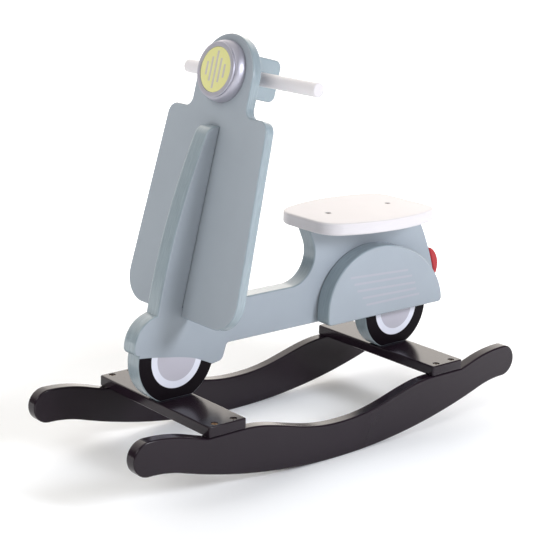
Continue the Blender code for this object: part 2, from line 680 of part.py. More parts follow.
def seat_outline():
    # Drawn with v running back from the seat's front edge.
    side = (SEAT_HALF_WIDTH - SEAT_SIDE_RADIUS, SEAT_WIDEST_AT)
    front = centre_on_line(side, SEAT_SIDE_RADIUS - SEAT_FRONT_CORNER, SEAT_FRONT_CORNER, 1)
    back = centre_on_line(side, SEAT_SIDE_RADIUS - SEAT_BACK_CORNER, SEAT_LENGTH - SEAT_BACK_CORNER, 1)
    first, last = bearing(side, front), bearing(side, back)
    right = arc(front, SEAT_FRONT_CORNER, -90, first, 7)
    right += arc(side, SEAT_SIDE_RADIUS, first, last, 6)[1:]
    right += arc(back, SEAT_BACK_CORNER, last, 90, 7)[1:]
    return right + mirrored(right)


def make_seat(centre_board):
    bottom = BEARER_HEIGHT + CLEAR
    top = bottom + SEAT_THICK
    seat = board("seat_board", seat_outline(), SEAT_THICK, SEAT_ROUNDING, WHITE_FINISH, TOY,
                 (0, SEAT_FRONT_Y, bottom + SEAT_THICK / 2))
    bolt_ys = [SEAT_FRONT_Y + at for at in SEAT_BOLTS_AT]
    spots = [((0, y, top - SEAT_BOLT["sink"]), (0, 0, 0)) for y in bolt_ys]
    screws(["seat_bolt_1", "seat_bolt_2"], SEAT_BOLT, TOY, spots, [seat])
    inner = SEAT_BOLT["shank"] + CLEAR
    sleeve = [(INSERT_RADIUS, 0), (INSERT_RADIUS, -INSERT_LENGTH), (inner, -INSERT_LENGTH), (inner, 0)]
    sleeve_mesh = turned_mesh("sleeve", sleeve, SCREW_SIDES, closed=True)
    wide = INSERT_RADIUS + CLEAR
    floor = -INSERT_LENGTH - CLEAR
    end = top - SEAT_BOLT["sink"] - SEAT_BOLT["length"] - DOWEL_END_ROOM - BEARER_HEIGHT
    well = [(0, OVERCUT), (wide, OVERCUT), (wide, floor), (inner, floor), (inner, end), (0, end)]
    well_mesh = turned_mesh("well", well, SCREW_SIDES)
    mouths = [(0, y, BEARER_HEIGHT) for y in bolt_ys]
    for i, mouth in enumerate(mouths):
        placed(f"seat_insert_{i + 1}", sleeve_mesh, STEEL_FINISH, TOY, mouth)
    cut("insert_wells", [centre_board], well_mesh, TOY, [(mouth, (0, 0, 0)) for mouth in mouths])


def cowl_outline():
    # Drawn with u running back from the crest and v up from the sill.
    points = [(-COWL_FRONT_REACH, 0, COWL_FRONT_CORNER), (COWL_TAIL_REACH, 0, COWL_TAIL_CORNER)]
    steps = 14
    for i in range(2, steps):
        turn = radians(90 * i / steps)
        points.append((COWL_TAIL_REACH * cos(turn) ** (2 / COWL_TAIL_POWER),
                       COWL_CREST_RISE * sin(turn) ** (2 / COWL_TAIL_POWER), 0))
    for u, v in arc((0, 0), 1, 90, 180, steps):
        points.append((COWL_FRONT_REACH * u, COWL_CREST_RISE - COWL_FRONT_RISE * (1 - v), 0))
    return rounded(points, 4)


def make_cowls(centre_board):
    outline = cowl_outline()
    x = BOARD_THICK / 2 + CLEAR + COWL_THICK / 2
    cowls = [
        board(name, outline, COWL_THICK, COWL_ROUNDING, BLUE_FINISH, SIDE,
              (COWL_CREST_Y, SILL_HEIGHT, side * x))
        for name, side in (("cowl_left", 1), ("cowl_right", -1))
    ]
    names = [f"cowl_dowel_{i + 1}" for i in range(len(COWL_DOWEL_PLACES))]
    spots = [(COWL_CREST_Y + behind, SILL_HEIGHT + above, 0) for behind, above in COWL_DOWEL_PLACES]
    dowels(names, COWL_DOWEL, SIDE, [(spot, (0, 0, 0)) for spot in spots], [centre_board, *cowls])


def make_tail_lamp(centre_board):
    # The lamp's inner edge follows the tail's curve; its outer edge is a tighter arc.
    centre = tail_curve_centre()
    inner_radius = TAIL_CURVE_RADIUS + CLEAR
    middle = degrees(asin((SILL_HEIGHT + TAIL_LAMP_ABOVE_SILL - centre[1]) / TAIL_CURVE_RADIUS))
    half_turn = degrees(asin(TAIL_LAMP_CHORD / 2 / inner_radius))
    inner = arc(centre, inner_radius, middle + half_turn, middle - half_turn, 4)
    chord_middle = (Vector(inner[0]) + Vector(inner[-1])) / 2
    lamp_radius = (TAIL_LAMP_CHORD ** 2 / 4 + TAIL_LAMP_BULGE ** 2) / (2 * TAIL_LAMP_BULGE)
    outward = Vector((cos(radians(middle)), sin(radians(middle))))
    lamp_centre = chord_middle - outward * (lamp_radius - TAIL_LAMP_BULGE)
    sweep = degrees(asin(TAIL_LAMP_CHORD / 2 / lamp_radius))
    outer = arc(lamp_centre, lamp_radius, middle - sweep, middle + sweep, 12)[1:-1]
    lamp = board("tail_lamp", inner + outer, TAIL_LAMP_THICK, BOARD_ROUNDING, RED_FINISH, SIDE)
    seat_point = Vector(centre) + outward * (inner_radius + TAIL_DOWEL["length"] / 2 - TAIL_DOWEL["in_board"])
    dowels(["tail_lamp_dowel"], TAIL_DOWEL, TOY,
           [((0, seat_point.x, seat_point.y), (radians(middle) - radians(90), 0, 0))],
           [centre_board, lamp])


def fasten_plates(rockers, plates, centre_board):
    count = 0
    for plate, y in zip(plates, (-AXLE_Y, AXLE_Y)):
        spots = [
            ((side * ROCKER_X, y + end * PLATE_SCREW_PITCH / 2, PLATE_TOP - PLATE_SCREW["sink"]), (0, 0, 0))
            for side in (1, -1) for end in (-1, 1)
        ]
        names = [f"plate_screw_{count + i + 1}" for i in range(len(spots))]
        screws(names, PLATE_SCREW, TOY, spots, [plate, *rockers])
        count += len(spots)
    count = 0
    for plate, y in zip(plates, (-AXLE_Y, AXLE_Y)):
        spots = [
            ((0, y + end * WHEEL_SCREW_PITCH / 2, PLATE_BOTTOM + WHEEL_SCREW["sink"]), (HALF_TURN, 0, 0))
            for end in (-1, 1)
        ]
        names = [f"wheel_screw_{count + i + 1}" for i in range(len(spots))]
        screws(names, WHEEL_SCREW, TOY, spots, [plate, centre_board])
        count += len(spots)


def fasten_shield(shield, centre_board):
    back = -SHIELD_THICK + BOARD_SCREW["sink"]
    spots = [((0, rise, back), (HALF_TURN, 0, 0)) for rise in SHIELD_SCREW_RISES]
    names = [f"shield_screw_{i + 1}" for i in range(len(spots))]
    screws(names, BOARD_SCREW, SLOPE, spots, [shield, centre_board])


ROCKERS = make_rockers()
PLATES = make_plates()
CENTRE_BOARD = make_centre_board()
LEG_SHIELD = make_leg_shield()
fasten_plates(ROCKERS, PLATES, CENTRE_BOARD)
fasten_shield(LEG_SHIELD, CENTRE_BOARD)
make_handlebar(LEG_SHIELD)
make_headlamp(LEG_SHIELD)
make_seat(CENTRE_BOARD)
make_cowls(CENTRE_BOARD)
make_tail_lamp(CENTRE_BOARD)
bpy.context.view_layer.update()
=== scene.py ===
# Rocking scooter toy, dressed around its packed boards, screws and dowels.
# Metres. The scooter faces -Y, its left side is +X, and it stands on Z = 0.

from math import cos, pi, radians, sin, tan

import bpy
import numpy as np
from mathutils import Matrix, Vector
from mathutils.geometry import delaunay_2d_cdt


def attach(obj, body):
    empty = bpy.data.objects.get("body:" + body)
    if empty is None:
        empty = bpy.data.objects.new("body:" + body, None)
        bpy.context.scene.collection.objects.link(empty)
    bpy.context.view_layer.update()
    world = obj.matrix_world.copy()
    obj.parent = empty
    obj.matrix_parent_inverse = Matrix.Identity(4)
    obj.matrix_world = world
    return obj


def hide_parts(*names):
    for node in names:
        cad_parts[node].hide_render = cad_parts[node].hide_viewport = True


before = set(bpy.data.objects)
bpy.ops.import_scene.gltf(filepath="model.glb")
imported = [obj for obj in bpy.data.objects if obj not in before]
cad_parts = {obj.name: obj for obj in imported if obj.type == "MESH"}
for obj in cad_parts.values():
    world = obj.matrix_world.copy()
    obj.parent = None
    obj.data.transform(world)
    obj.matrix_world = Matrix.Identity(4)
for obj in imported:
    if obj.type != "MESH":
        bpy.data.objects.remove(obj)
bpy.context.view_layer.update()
print("frame loaded:", len(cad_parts), "nodes")


# Paths in the plane of a board

def arc(centre, radius, start, end, steps=24):
    # Centre plus radius times (cos a, sin a), with a running evenly from start to end in degrees.
    a = np.radians(np.linspace(start, end, steps + 1))
    return np.column_stack((centre[0] + radius * np.cos(a), centre[1] + radius * np.sin(a)))


def mirrored(path):
    # The same path with its first coordinate negated, run backwards so it still turns the same way.
    return path[::-1] * (-1, 1)


def bearing(start, end):
    # Direction from one point to another, in degrees.
    return float(np.degrees(np.arctan2(end[1] - start[1], end[0] - start[0])))


def angleOf(sine):
    # The angle with this sine, in degrees.
    return float(np.degrees(np.arcsin(sine)))


def centreOnLine(circle, reach, height, side):
    # The point at a height whose distance from the circle's centre is reach.
    return (circle[0] + side * (reach ** 2 - (height - circle[1]) ** 2) ** 0.5, height)


def circlesMeet(first, firstRadius, second, secondRadius, side):
    # Along the line of centres by the law of cosines, then off it by what Pythagoras leaves.
    gap = np.subtract(second, first)
    far = np.hypot(*gap)
    along = (far ** 2 + firstRadius ** 2 - secondRadius ** 2) / (2 * far)
    across = side * (firstRadius ** 2 - along ** 2) ** 0.5
    way = gap / far
    return np.array(first) + way * along + np.array((-way[1], way[0])) * across


def roundCorners(corners, steps=12):
    # Each corner (u, v, radius) becomes the arc that touches both of its edges.
    path = []
    for i, (u, v, radius) in enumerate(corners):
        here = np.array((u, v))
        if radius == 0:
            path.append([here])
            continue
        before = np.array(corners[i - 1][:2]) - here
        after = np.array(corners[(i + 1) % len(corners)][:2]) - here
        before, after = before / np.hypot(*before), after / np.hypot(*after)
        half = np.arccos(np.dot(before, after)) / 2
        middle = (before + after) / np.hypot(*(before + after))
        centre = here + middle * radius / sin(half)
        start = bearing(centre, here + before * radius / tan(half))
        turn = (bearing(centre, here + after * radius / tan(half)) - start + 180) % 360 - 180
        path.append(arc(centre, radius, start, start + turn, steps))
    return np.vstack(path)


def closed(*pieces, least=1e-6):
    # One loop from several runs of points. A point less than least from the one before is left out.
    path = np.vstack(pieces)
    step = np.linalg.norm(path - np.roll(path, 1, 0), axis=1)
    return path[step > least]


def inset(path, depth, share=1, leastSpread=0.12):
    # Every point moves along the sum of its two edge normals, scaled so that both edges move by depth, or
    # by its own share of depth. The least spread keeps the point of a very sharp corner near.
    along = np.roll(path, -1, 0) - path
    along /= np.linalg.norm(along, axis=1, keepdims=True)
    after = np.column_stack((-along[:, 1], along[:, 0]))
    before = np.roll(after, 1, 0)
    spread = 1 + np.sum(before * after, axis=1, keepdims=True)
    return path + (before + after) / np.maximum(spread, leastSpread) * depth * share


def roundOver(radius, height, over, steps=5, side=1):
    # A quarter circle on a profile, from the flat at height to the wall at radius; side is -1 in a bore.
    t = np.radians(np.linspace(0, 90, steps + 1))
    return np.column_stack((radius - side * over * (1 - np.sin(t)), height - over * (1 - np.cos(t))))


# Surfaces

def makePiece(name, points, faces, finish, body="root", sharp=35, nodes=()):
    # A mesh at the origin with its place in its points, shaded smooth except over sharp angles.
    mesh = bpy.data.meshes.new(name)
    mesh.from_pydata(points.tolist(), [], faces)
    mesh.validate()
    mesh.materials.append(finish)
    mesh.shade_smooth()
    mesh.set_sharp_from_angle(angle=radians(sharp))
    piece = bpy.data.objects.new(name, mesh)
    bpy.context.scene.collection.objects.link(piece)
    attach(piece, body)
    if nodes:
        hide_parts(*nodes)
    return piece


def bands(first, rows, columns):
    # Quads between neighbouring rings of a grid whose rings close on themselves, facing out going down.
    grid = first + np.arange(rows * columns).reshape(rows, columns)
    right = np.roll(grid, -1, 1)
    return np.stack((grid[:-1], grid[1:], right[1:], right[:-1]), axis=-1).reshape(-1, 4)


def capFaces(loops, points, upward):
    # Triangles that fill the outer loop and leave out the round holes inside it.
    flat = [Vector(point[:2]) for loop in loops for point in points[loop]]
    edges, first = [], 0
    owner = np.repeat(np.arange(len(loops)), [len(loop) for loop in loops])
    for loop in loops:
        edges += [(first + i, first + (i + 1) % len(loop)) for i in range(len(loop))]
        first += len(loop)
    insideOnly, weld = 1, 1e-9
    found = delaunay_2d_cdt(flat, edges, [list(range(len(loops[0])))], insideOnly, weld)
    every = np.concatenate(loops)
    faces = []
    for face in found[2]:
        own = [found[3][corner][0] for corner in face]
        if len(set(owner[own])) == 1 and owner[own[0]] > 0:
            continue
        faces.append([int(every[i]) for i in (own if upward else own[::-1])])
    return faces


def boardSurface(path, thickness, edge, holes=(), share=1, soft=0.0007, turns=7, sides=40):
    # The outline is carried down a profile: flat, quarter circle of radius edge, straight wall, quarter
    # circle, flat. A hole is (u, v, side, [(radius, depth), ...]), with side 1 from the top, -1 from
    # below and 0 right through. Points with a share of 0 don't move, so that the rim is sharp there. A
    # strip as wide as soft beside each rounding keeps the shading of the flats even.
    t = np.radians(np.linspace(0, 90, turns + 1))
    half = thickness / 2
    depths = np.concatenate(([edge + soft], edge * (1 - np.sin(t)), [0.0]))
    heights = np.concatenate(([half], half - edge * (1 - np.cos(t)), [half - edge - soft]))
    depths = np.concatenate((depths, depths[::-1]))
    heights = np.concatenate((heights, -heights[::-1]))
    rings = [np.column_stack((inset(path, d, share), np.full(len(path), h))) for d, h in zip(depths, heights)]
    points = np.vstack(rings)
    count, rows = len(path), len(rings)
    faces = bands(0, rows, count).tolist()
    tops, bottoms = [np.arange(count)], [np.arange(count) + (rows - 1) * count]
    spin = np.radians(np.arange(sides) * 360 / sides)
    for u, v, side, steps in holes:
        first = len(points)
        start = half if side >= 0 else -half
        ring = [np.column_stack((u + r * np.cos(spin), v + r * np.sin(spin),
                                 np.full(sides, start - (side or 1) * d))) for r, d in steps]
        points = np.vstack([points, *ring])
        wall = bands(first, len(steps), sides)
        faces += (wall if side < 0 else wall[:, ::-1]).tolist()
        mouth = first + np.arange(sides)
        last = mouth + (len(steps) - 1) * sides
        (bottoms if side < 0 else tops).append(mouth)
        if side == 0:
            bottoms.append(last)
        else:
            faces.append((last if side > 0 else last[::-1]).tolist())
    faces += capFaces(tops, points, True) if len(tops) > 1 else [tops[0].tolist()]
    faces += capFaces(bottoms, points, False) if len(bottoms) > 1 else [bottoms[0][::-1].tolist()]
    return points, faces


def turnedSurface(profile, sides=96):
    # Each profile point (radius, height) goes once round the axis; the two ends are closed flat.
    spin = np.radians(np.arange(sides) * 360 / sides)
    radius, height = np.array(profile).T
    x = radius[:, None] * np.cos(spin)
    y = radius[:, None] * np.sin(spin)
    z = np.repeat(height[:, None], sides, axis=1)
    points = np.stack((x, y, z), axis=-1).reshape(-1, 3)
    faces = bands(0, len(profile), sides).tolist()
    top = np.arange(sides)
    faces += [top.tolist(), (top + (len(profile) - 1) * sides)[::-1].tolist()]
    return points, faces


def moved(points, axes, origin):
    # Old axes become the three given directions, then everything shifts to the origin given.
    return points @ np.array(axes, float) + np.array(origin, float)


# Sizes shared by several pieces

clear = 0.0003
body = {"axleY": 0.220, "wheelRadius": 0.0673, "axleRise": 0.0610, "thick": 0.028, "edge": 0.0025}
rails = {"thick": 0.019, "span": 0.2668, "radius": 0.975, "reach": 0.296, "tipReach": 0.3525,
         "band": 0.0508, "waist": 0.0556, "waistPower": 1.14, "lip": 0.001, "edge": 0.0025}
plates = {"thick": 0.016, "depth": 0.0655, "edge": 0.002, "corner": 0.0032, "screwPitch": 0.0335,
          "wheelScrewPitch": 0.030}
slope = {"lean": radians(13.48), "behindAxle": 0.0084, "thick": 0.016}

railEnd = body["axleY"] + plates["depth"] / 2 + rails["lip"]
railTop = rails["radius"] - ((rails["radius"] - rails["band"]) ** 2 - railEnd ** 2) ** 0.5
plateBottom = railTop + clear
plateTop = plateBottom + plates["thick"]
axleZ = plateTop + clear + body["axleRise"]
sillZ = axleZ + 0.0053
floorZ = sillZ + 0.0649
bearerZ = floorZ + 0.0825
railX = (rails["span"] - rails["thick"]) / 2
frontAxle, rearAxle = (-body["axleY"], axleZ), (body["axleY"], axleZ)

# A side view is drawn with u along +Y, v along +Z and its thickness along +X.
sideAxes = ((0, 1, 0), (0, 0, 1), (1, 0, 0))
flatAxes = ((1, 0, 0), (0, 1, 0), (0, 0, 1))
# The shield's own axes: across, up its slope, and out of its front face.
up = (0, sin(slope["lean"]), cos(slope["lean"]))
out = (0, -cos(slope["lean"]), sin(slope["lean"]))
slopeAxes = ((1, 0, 0), up, out)
blockAxes = (tuple(-c for c in out), up, (1, 0, 0))
footY = slope["behindAxle"] - body["axleY"]
slopeFoot = (0, footY, floorZ)
notchRise = slope["thick"] * tan(slope["lean"])


def onSlope(rise, ahead=0.0):
    # The point that is rise up the slope from the shield's foot, and ahead of its front face.
    return np.array(slopeFoot) + np.array(up) * rise + np.array(out) * ahead


# Finishes

def linear(colour):
    # sRGB hex to linear: v / 12.92 below 0.04045, and ((v + 0.055) / 1.055) ** 2.4 above.
    v = np.array([int(colour[i:i + 2], 16) for i in (1, 3, 5)]) / 255
    return tuple(np.where(v < 0.04045, v / 12.92, ((v + 0.055) / 1.055) ** 2.4)) + (1.0,)


def addNode(tree, kind, feeds=(), out=0, **settings):
    # Adds a node, sets its properties, feeds its inputs with values or other nodes' outputs.
    node = tree.nodes.new("ShaderNode" + kind)
    for name, value in settings.items():
        setattr(node, name, value)
    for socket, value in (feeds.items() if isinstance(feeds, dict) else enumerate(feeds)):
        if isinstance(value, bpy.types.NodeSocket):
            tree.links.new(value, node.inputs[socket])
        elif value is not None:
            node.inputs[socket].default_value = value
    return node.outputs[out] if node.outputs else node


def newFinish(name):
    # An empty material with its object coordinates and their three parts.
    finish = bpy.data.materials.new(name)
    finish.use_nodes = True
    tree = finish.node_tree
    tree.nodes.clear()
    place = addNode(tree, "TexCoord", out="Object")
    return finish, tree, place, addNode(tree, "SeparateXYZ", [place]).node.outputs


def below(tree, value, limit, blur=0.0003):
    # 1 where value is under limit and 0 above it, with a soft edge that reaches blur each way.
    return addNode(tree, "MapRange", {"Value": value, "From Min": limit + blur, "From Max": limit - blur})


def blend(tree, share, first, second):
    # The first colour where share is 0 and the second where it is 1.
    return addNode(tree, "Mix", {0: share, 6: first, 7: second}, out=2, data_type='RGBA')


def faceShare(tree, depth, half, fade=0.0007, whole=0.0002):
    # 1 near a piece's two faces, which lie half from its middle as depth does, and 0 deeper than fade.
    away = addNode(tree, "Math", [depth], operation='ABSOLUTE')
    return addNode(tree, "MapRange", {"Value": away, "From Min": half - fade, "From Max": half - whole})


def varied(tree, colour, noise, share, film=0.0):
    # The colour times 1 - share to 1 + share, as the noise rises, and as it was where film is 1.
    shade = addNode(tree, "MapRange", {"Value": noise, "From Min": noiseSpan[0], "From Max": noiseSpan[1],
                                       "To Min": 1 - share, "To Max": 1 + share})
    shade = addNode(tree, "Mix", {0: film, 2: shade, 3: 1.0}, out=0, data_type='FLOAT')
    return addNode(tree, "Mix", {0: 1.0, 6: colour, 7: shade}, out=2, data_type='RGBA', blend_type='MULTIPLY')


def lacquerCoat(tree, place, colour, look, film=None, depth=None):
    # Sprayed lacquer: colour drifts by a few percent over centimetres and orange peel a few mm wide breaks
    # the gloss. Where film is 1 a printed film covers it, which is duller. Elsewhere, if depth is given,
    # the board's layers show through as short streaks, which keep to one depth in the board. Without a
    # film the shine is the same all over, and stays on the shader's own socket.
    if depth is not None:
        x, y, z = addNode(tree, "SeparateXYZ", [place]).node.outputs
        stretched = [addNode(tree, "Math", [value, layers[way]], operation='MULTIPLY')
                     for value, way in ((depth, "across"), (y, "along"), (z, "along"))]
        streak = addNode(tree, "TexNoise", {"Vector": addNode(tree, "CombineXYZ", stretched),
                                            "Scale": 1.0, "Detail": 2.0})
        colour = varied(tree, colour, streak, look["streaks"], film)
    cloud = addNode(tree, "TexNoise", {"Vector": place, "Scale": 1 / look["cloud"], "Detail": 2.0})
    toned = varied(tree, colour, cloud, look["drift"])
    peel = addNode(tree, "TexNoise", {"Vector": place, "Scale": 1 / look["peel"], "Detail": 3.0})
    rough = addNode(tree, "MapRange", {"Value": peel, "To Min": look["rough"] - peelGloss,
                                       "To Max": look["rough"] + peelGloss})
    shine = look["shine"]
    if film is not None and "filmShine" in look:
        rough = addNode(tree, "Math", [film, look["filmRough"], rough], operation='MULTIPLY_ADD')
        shine = addNode(tree, "Math", [film, look["filmShine"], shine], operation='MULTIPLY_ADD')
    relief = addNode(tree, "Bump", {"Height": peel, "Strength": look["relief"], "Distance": peelDepth})
    surface = addNode(tree, "BsdfPrincipled", {
        "Base Color": toned, "Roughness": rough, "Normal": relief, "Specular IOR Level": shine})
    addNode(tree, "OutputMaterial", [surface])


noiseSpan = (0.3, 0.7)  # most of a noise lies between these
layers = {"across": 900.0, "along": 50.0}  # in a metre: streaks 1.1 mm wide and 20 mm long
peelGloss, peelDepth = 0.01, 0.0002  # how far orange peel moves the roughness, and its depth


# Alkyd lacquer sprayed on board: teal grey on the routed edges, a lighter grey printed film on the flat
# faces. Patterns: orange peel drawn 5 mm wide (the real 1 mm is too fine to show), drift over 60 mm.
blueLook = {"face": "#9AA2AA", "edge": "#8B989F", "cloud": 0.06, "drift": 0.02, "peel": 0.005,
            "rough": 0.18, "relief": 0.03, "shine": 0.55, "streaks": 0.10, "filmRough": 0.28,
            "filmShine": -0.47}


def filmOnBlue(tree, place, face, depth, half):
    # The film and what is printed on it on both flat faces, and bare lacquer on the routed edge.
    film = faceShare(tree, depth, half)
    lacquerCoat(tree, place, blend(tree, film, linear(blueLook["edge"]), face), blueLook, film, depth)


def centreBoardFinish():
    # The wheels are printed on the film: black tyre, white ring, grey hub. The fender line's points are y
    # and height over the axle.
    look = {"tyre": "#0F090F", "ring": "#DFE1EC", "hub": "#B8B6C0", "tyreR": 0.0675, "ringR": 0.0449,
            "hubR": 0.0344, "fenderLine": (
                (-0.286, 0.0109), (-0.264, 0.0083), (-0.2407, 0.0043), (-0.214, -0.0003),
                (-0.189, -0.0066), (-0.1787, -0.0108), (-0.1564, -0.0210))}
    finish, tree, place, (x, y, z) = newFinish("spray_lacquer_and_printed_film")
    beside = addNode(tree, "Math", [y], operation='ABSOLUTE')
    run = addNode(tree, "Math", [beside, -body["axleY"]], operation='ADD')
    rise = addNode(tree, "Math", [z, -axleZ], operation='ADD')
    spoke = addNode(tree, "CombineXYZ", [run, rise])
    radius = addNode(tree, "VectorMath", [spoke], out="Value", operation='LENGTH')
    inTyre, inRing, inHub = (below(tree, radius, look[limit]) for limit in ("tyreR", "ringR", "hubR"))
    wheel = blend(tree, inRing, linear(look["tyre"]), linear(look["ring"]))
    wheel = blend(tree, inHub, wheel, linear(look["hub"]))
    # The front wheel is body colour above the fender line, and the rear wheel above the sill.
    line = np.array(look["fenderLine"])
    span, low, high = line[[0, -1], 0], line[:, 1].min(), line[:, 1].max()
    along = addNode(tree, "MapRange", {"Value": y, "From Min": span[0], "From Max": span[1]})
    curve = addNode(tree, "FloatCurve", {"Value": along}).node
    points = curve.mapping.curves[0].points
    points[0].location, points[1].location = (0, (line[0, 1] - low) / (high - low)), (1, 0)
    for u, v in line[1:-1]:
        points.new((u - span[0]) / (span[1] - span[0]), (v - low) / (high - low))
    curve.mapping.update()
    fender = addNode(tree, "MapRange", {"Value": curve.outputs[0], "To Min": low, "To Max": high})
    front = addNode(tree, "Math", [y, 0.0], operation='LESS_THAN')
    roof = addNode(tree, "Mix", {0: front, 2: sillZ - axleZ, 3: fender}, out=0, data_type='FLOAT')
    drop = addNode(tree, "Math", [rise, roof], operation='SUBTRACT')
    shown = addNode(tree, "Math", [inTyre, below(tree, drop, 0.0)], operation='MULTIPLY')
    filmOnBlue(tree, place, blend(tree, shown, linear(blueLook["face"]), wheel), x, body["thick"] / 2)
    return finish


def shieldFinish():
    # Distance from the shield's middle along out tells its two flat faces from its routed edge.
    finish, tree, place, parts = newFinish("spray_lacquer_and_plain_film")
    half = slope["thick"] / 2
    fromMiddle = addNode(tree, "VectorMath", [place, tuple(-onSlope(0, -half))], operation='ADD')
    depth = addNode(tree, "VectorMath", [fromMiddle, out], out="Value", operation='DOT_PRODUCT')
    filmOnBlue(tree, place, linear(blueLook["face"]), depth, half)
    return finish


def cowlFinish(outerX):
    # Five pale stripes are screen printed on the film, 3.4 mm high and 12 mm apart. They fall a little
    # toward the back, and each is given as its two ends (y, z).
    look = {"stripe": "#A5A5AE", "height": 0.0034, "stripes": (
        ((0.0886, 0.2398), (0.2135, 0.2342)), ((0.0973, 0.2279), (0.2234, 0.2235)),
        ((0.1044, 0.2162), (0.2317, 0.2109)), ((0.1160, 0.2033), (0.2343, 0.2005)),
        ((0.1250, 0.1911), (0.2424, 0.1905)))}
    finish, tree, place, (x, y, z) = newFinish("spray_lacquer_and_striped_film")
    printed = 0.0
    for start, end in look["stripes"]:
        middle = (start[0] + end[0]) / 2, (start[1] + end[1]) / 2
        fall = (end[1] - start[1]) / (end[0] - start[0])
        run = addNode(tree, "Math", [y, -middle[0]], operation='ADD')
        line = addNode(tree, "Math", [run, fall, middle[1]], operation='MULTIPLY_ADD')
        rise = addNode(tree, "Math", [z, line], operation='SUBTRACT')
        rise, run = (addNode(tree, "Math", [value], operation='ABSOLUTE') for value in (rise, run))
        stripe = addNode(tree, "Math", [below(tree, rise, look["height"] / 2),
                                        below(tree, run, (end[0] - start[0]) / 2)], operation='MULTIPLY')
        printed = addNode(tree, "Math", [printed, stripe], operation='MAXIMUM')
    filmOnBlue(tree, place, blend(tree, printed, linear(blueLook["face"]), linear(look["stripe"])), x, outerX)
    return finish


def plainLacquer(name, look):
    # Lacquer of one colour all over, also on the routed edges.
    finish, tree, place, parts = newFinish(name)
    lacquerCoat(tree, place, linear(look["colour"]), look)
    return finish


def seatFinish():
    # White lacquer over plywood: on the board's edge the layers read through it as faint level lines.
    # The edge colour is a greyer copy of the top's white, and the difference is painted shade.
    look = {"colour": "#D6D2D3", "edge": "#CDCACD", "cloud": 0.05, "drift": 0.01, "peel": 0.005,
            "rough": 0.40, "relief": 0.08, "shine": 0.2, "streaks": 0.02}
    finish, tree, place, (x, y, z) = newFinish("white_lacquer_on_plywood")
    top = addNode(tree, "MapRange", {"Value": z, "From Min": bearerZ + seat["thick"] - seat["edge"],
                                     "From Max": bearerZ + seat["thick"]})
    lacquerCoat(tree, place, blend(tree, top, linear(look["edge"]), linear(look["colour"])), look, top, z)
    return finish


def barFinish():
    # White lacquer on a turned bar, a little greyer on its two ends: painted shade for the strong light on
    # them.
    look = {"colour": "#DAD7DA", "end": "#C6C3C7", "cloud": 0.05, "drift": 0.01, "peel": 0.005, "rough": 0.35,
            "relief": 0.06, "shine": 0.4}
    finish, tree, place, (x, y, z) = newFinish("white_lacquer_on_turned_bar")
    # end is 1 on the bar's two ends, where the greyer white is painted shade.
    end = faceShare(tree, x, bar["length"] / 2, fade=0.0012)
    lacquerCoat(tree, place, blend(tree, end, linear(look["colour"]), linear(look["end"])), look)
    return finish


def grainyFinish(name, look):
    # A grain as wide as given moves the roughness between its two values and raises the surface a little.
    finish, tree, place, parts = newFinish(name)
    low, high = look["rough"]
    grain = addNode(tree, "TexNoise", {"Vector": place, "Scale": 1 / look["grain"], "Detail": look["detail"]})
    gloss = addNode(tree, "MapRange", {"Value": grain, "To Min": low, "To Max": high})
    relief = addNode(tree, "Bump", {"Height": grain, "Strength": look["relief"], "Distance": look["depth"]})
    surface = addNode(tree, "BsdfPrincipled", {
        "Base Color": linear(look["colour"]), "Metallic": look["metallic"], "Roughness": gloss,
        "Normal": relief})
    addNode(tree, "OutputMaterial", [surface])
    return finish


def beechFinish():
    # Bare steamed beech dowel: pinkish tan with short darker flecks along the grain, 3 mm by 0.5 mm.
    look = {"colour": "#CFAE86", "fleck": "#A97F58", "perMetre": (300, 2000, 2000), "from": 0.45, "to": 0.7,
            "relief": 0.3, "depth": 0.0001, "rough": 0.6}
    finish, tree, place, parts = newFinish("bare_beech")
    stretch = addNode(tree, "Mapping", {"Vector": place, "Scale": look["perMetre"]})
    fleck = addNode(tree, "TexNoise", {"Vector": stretch, "Scale": 1.0, "Detail": 4.0})
    share = addNode(tree, "MapRange", {"Value": fleck, "From Min": look["from"], "From Max": look["to"]})
    colour = blend(tree, share, linear(look["colour"]), linear(look["fleck"]))
    relief = addNode(tree, "Bump", {"Height": fleck, "Strength": look["relief"], "Distance": look["depth"]})
    surface = addNode(tree, "BsdfPrincipled", {"Base Color": colour, "Roughness": look["rough"],
                                               "Normal": relief})
    addNode(tree, "OutputMaterial", [surface])
    return finish


def lensFinish(lampRise):
    # Screen printed disc: yellow green, with five upright grey bars, 3.8 mm wide and 9.4 mm apart.
    look = {"yellow": "#D2D08F", "bar": "#B3AFB0", "pitch": 0.0094, "width": 0.0038, "blur": 0.0002,
            "lengths": (0.019, 0.034, 0.053, 0.034, 0.019), "cloud": 0.03, "drift": 0.015, "peel": 0.004,
            "rough": 0.4, "relief": 0.05, "shine": 0.3}
    finish, tree, place, parts = newFinish("printed_lens_disc")
    inLamp = addNode(tree, "VectorMath", [place, tuple(-onSlope(lampRise))], operation='ADD')
    rise = addNode(tree, "VectorMath", [inLamp, up], out="Value", operation='DOT_PRODUCT')
    rise = addNode(tree, "Math", [rise], operation='ABSOLUTE')
    bars = 0.0
    middleBar = len(look["lengths"]) // 2
    for i, length in enumerate(look["lengths"]):
        off = addNode(tree, "Math", [parts[0], (middleBar - i) * look["pitch"]], operation='ADD')
        off = addNode(tree, "Math", [off], operation='ABSOLUTE')
        inBar = addNode(tree, "Math", [below(tree, off, look["width"] / 2, look["blur"]),
                                       below(tree, rise, length / 2, look["blur"])], operation='MULTIPLY')
        bars = addNode(tree, "Math", [bars, inBar], operation='MAXIMUM')
    lacquerCoat(tree, place, blend(tree, bars, linear(look["yellow"]), linear(look["bar"])), look)
    return finish


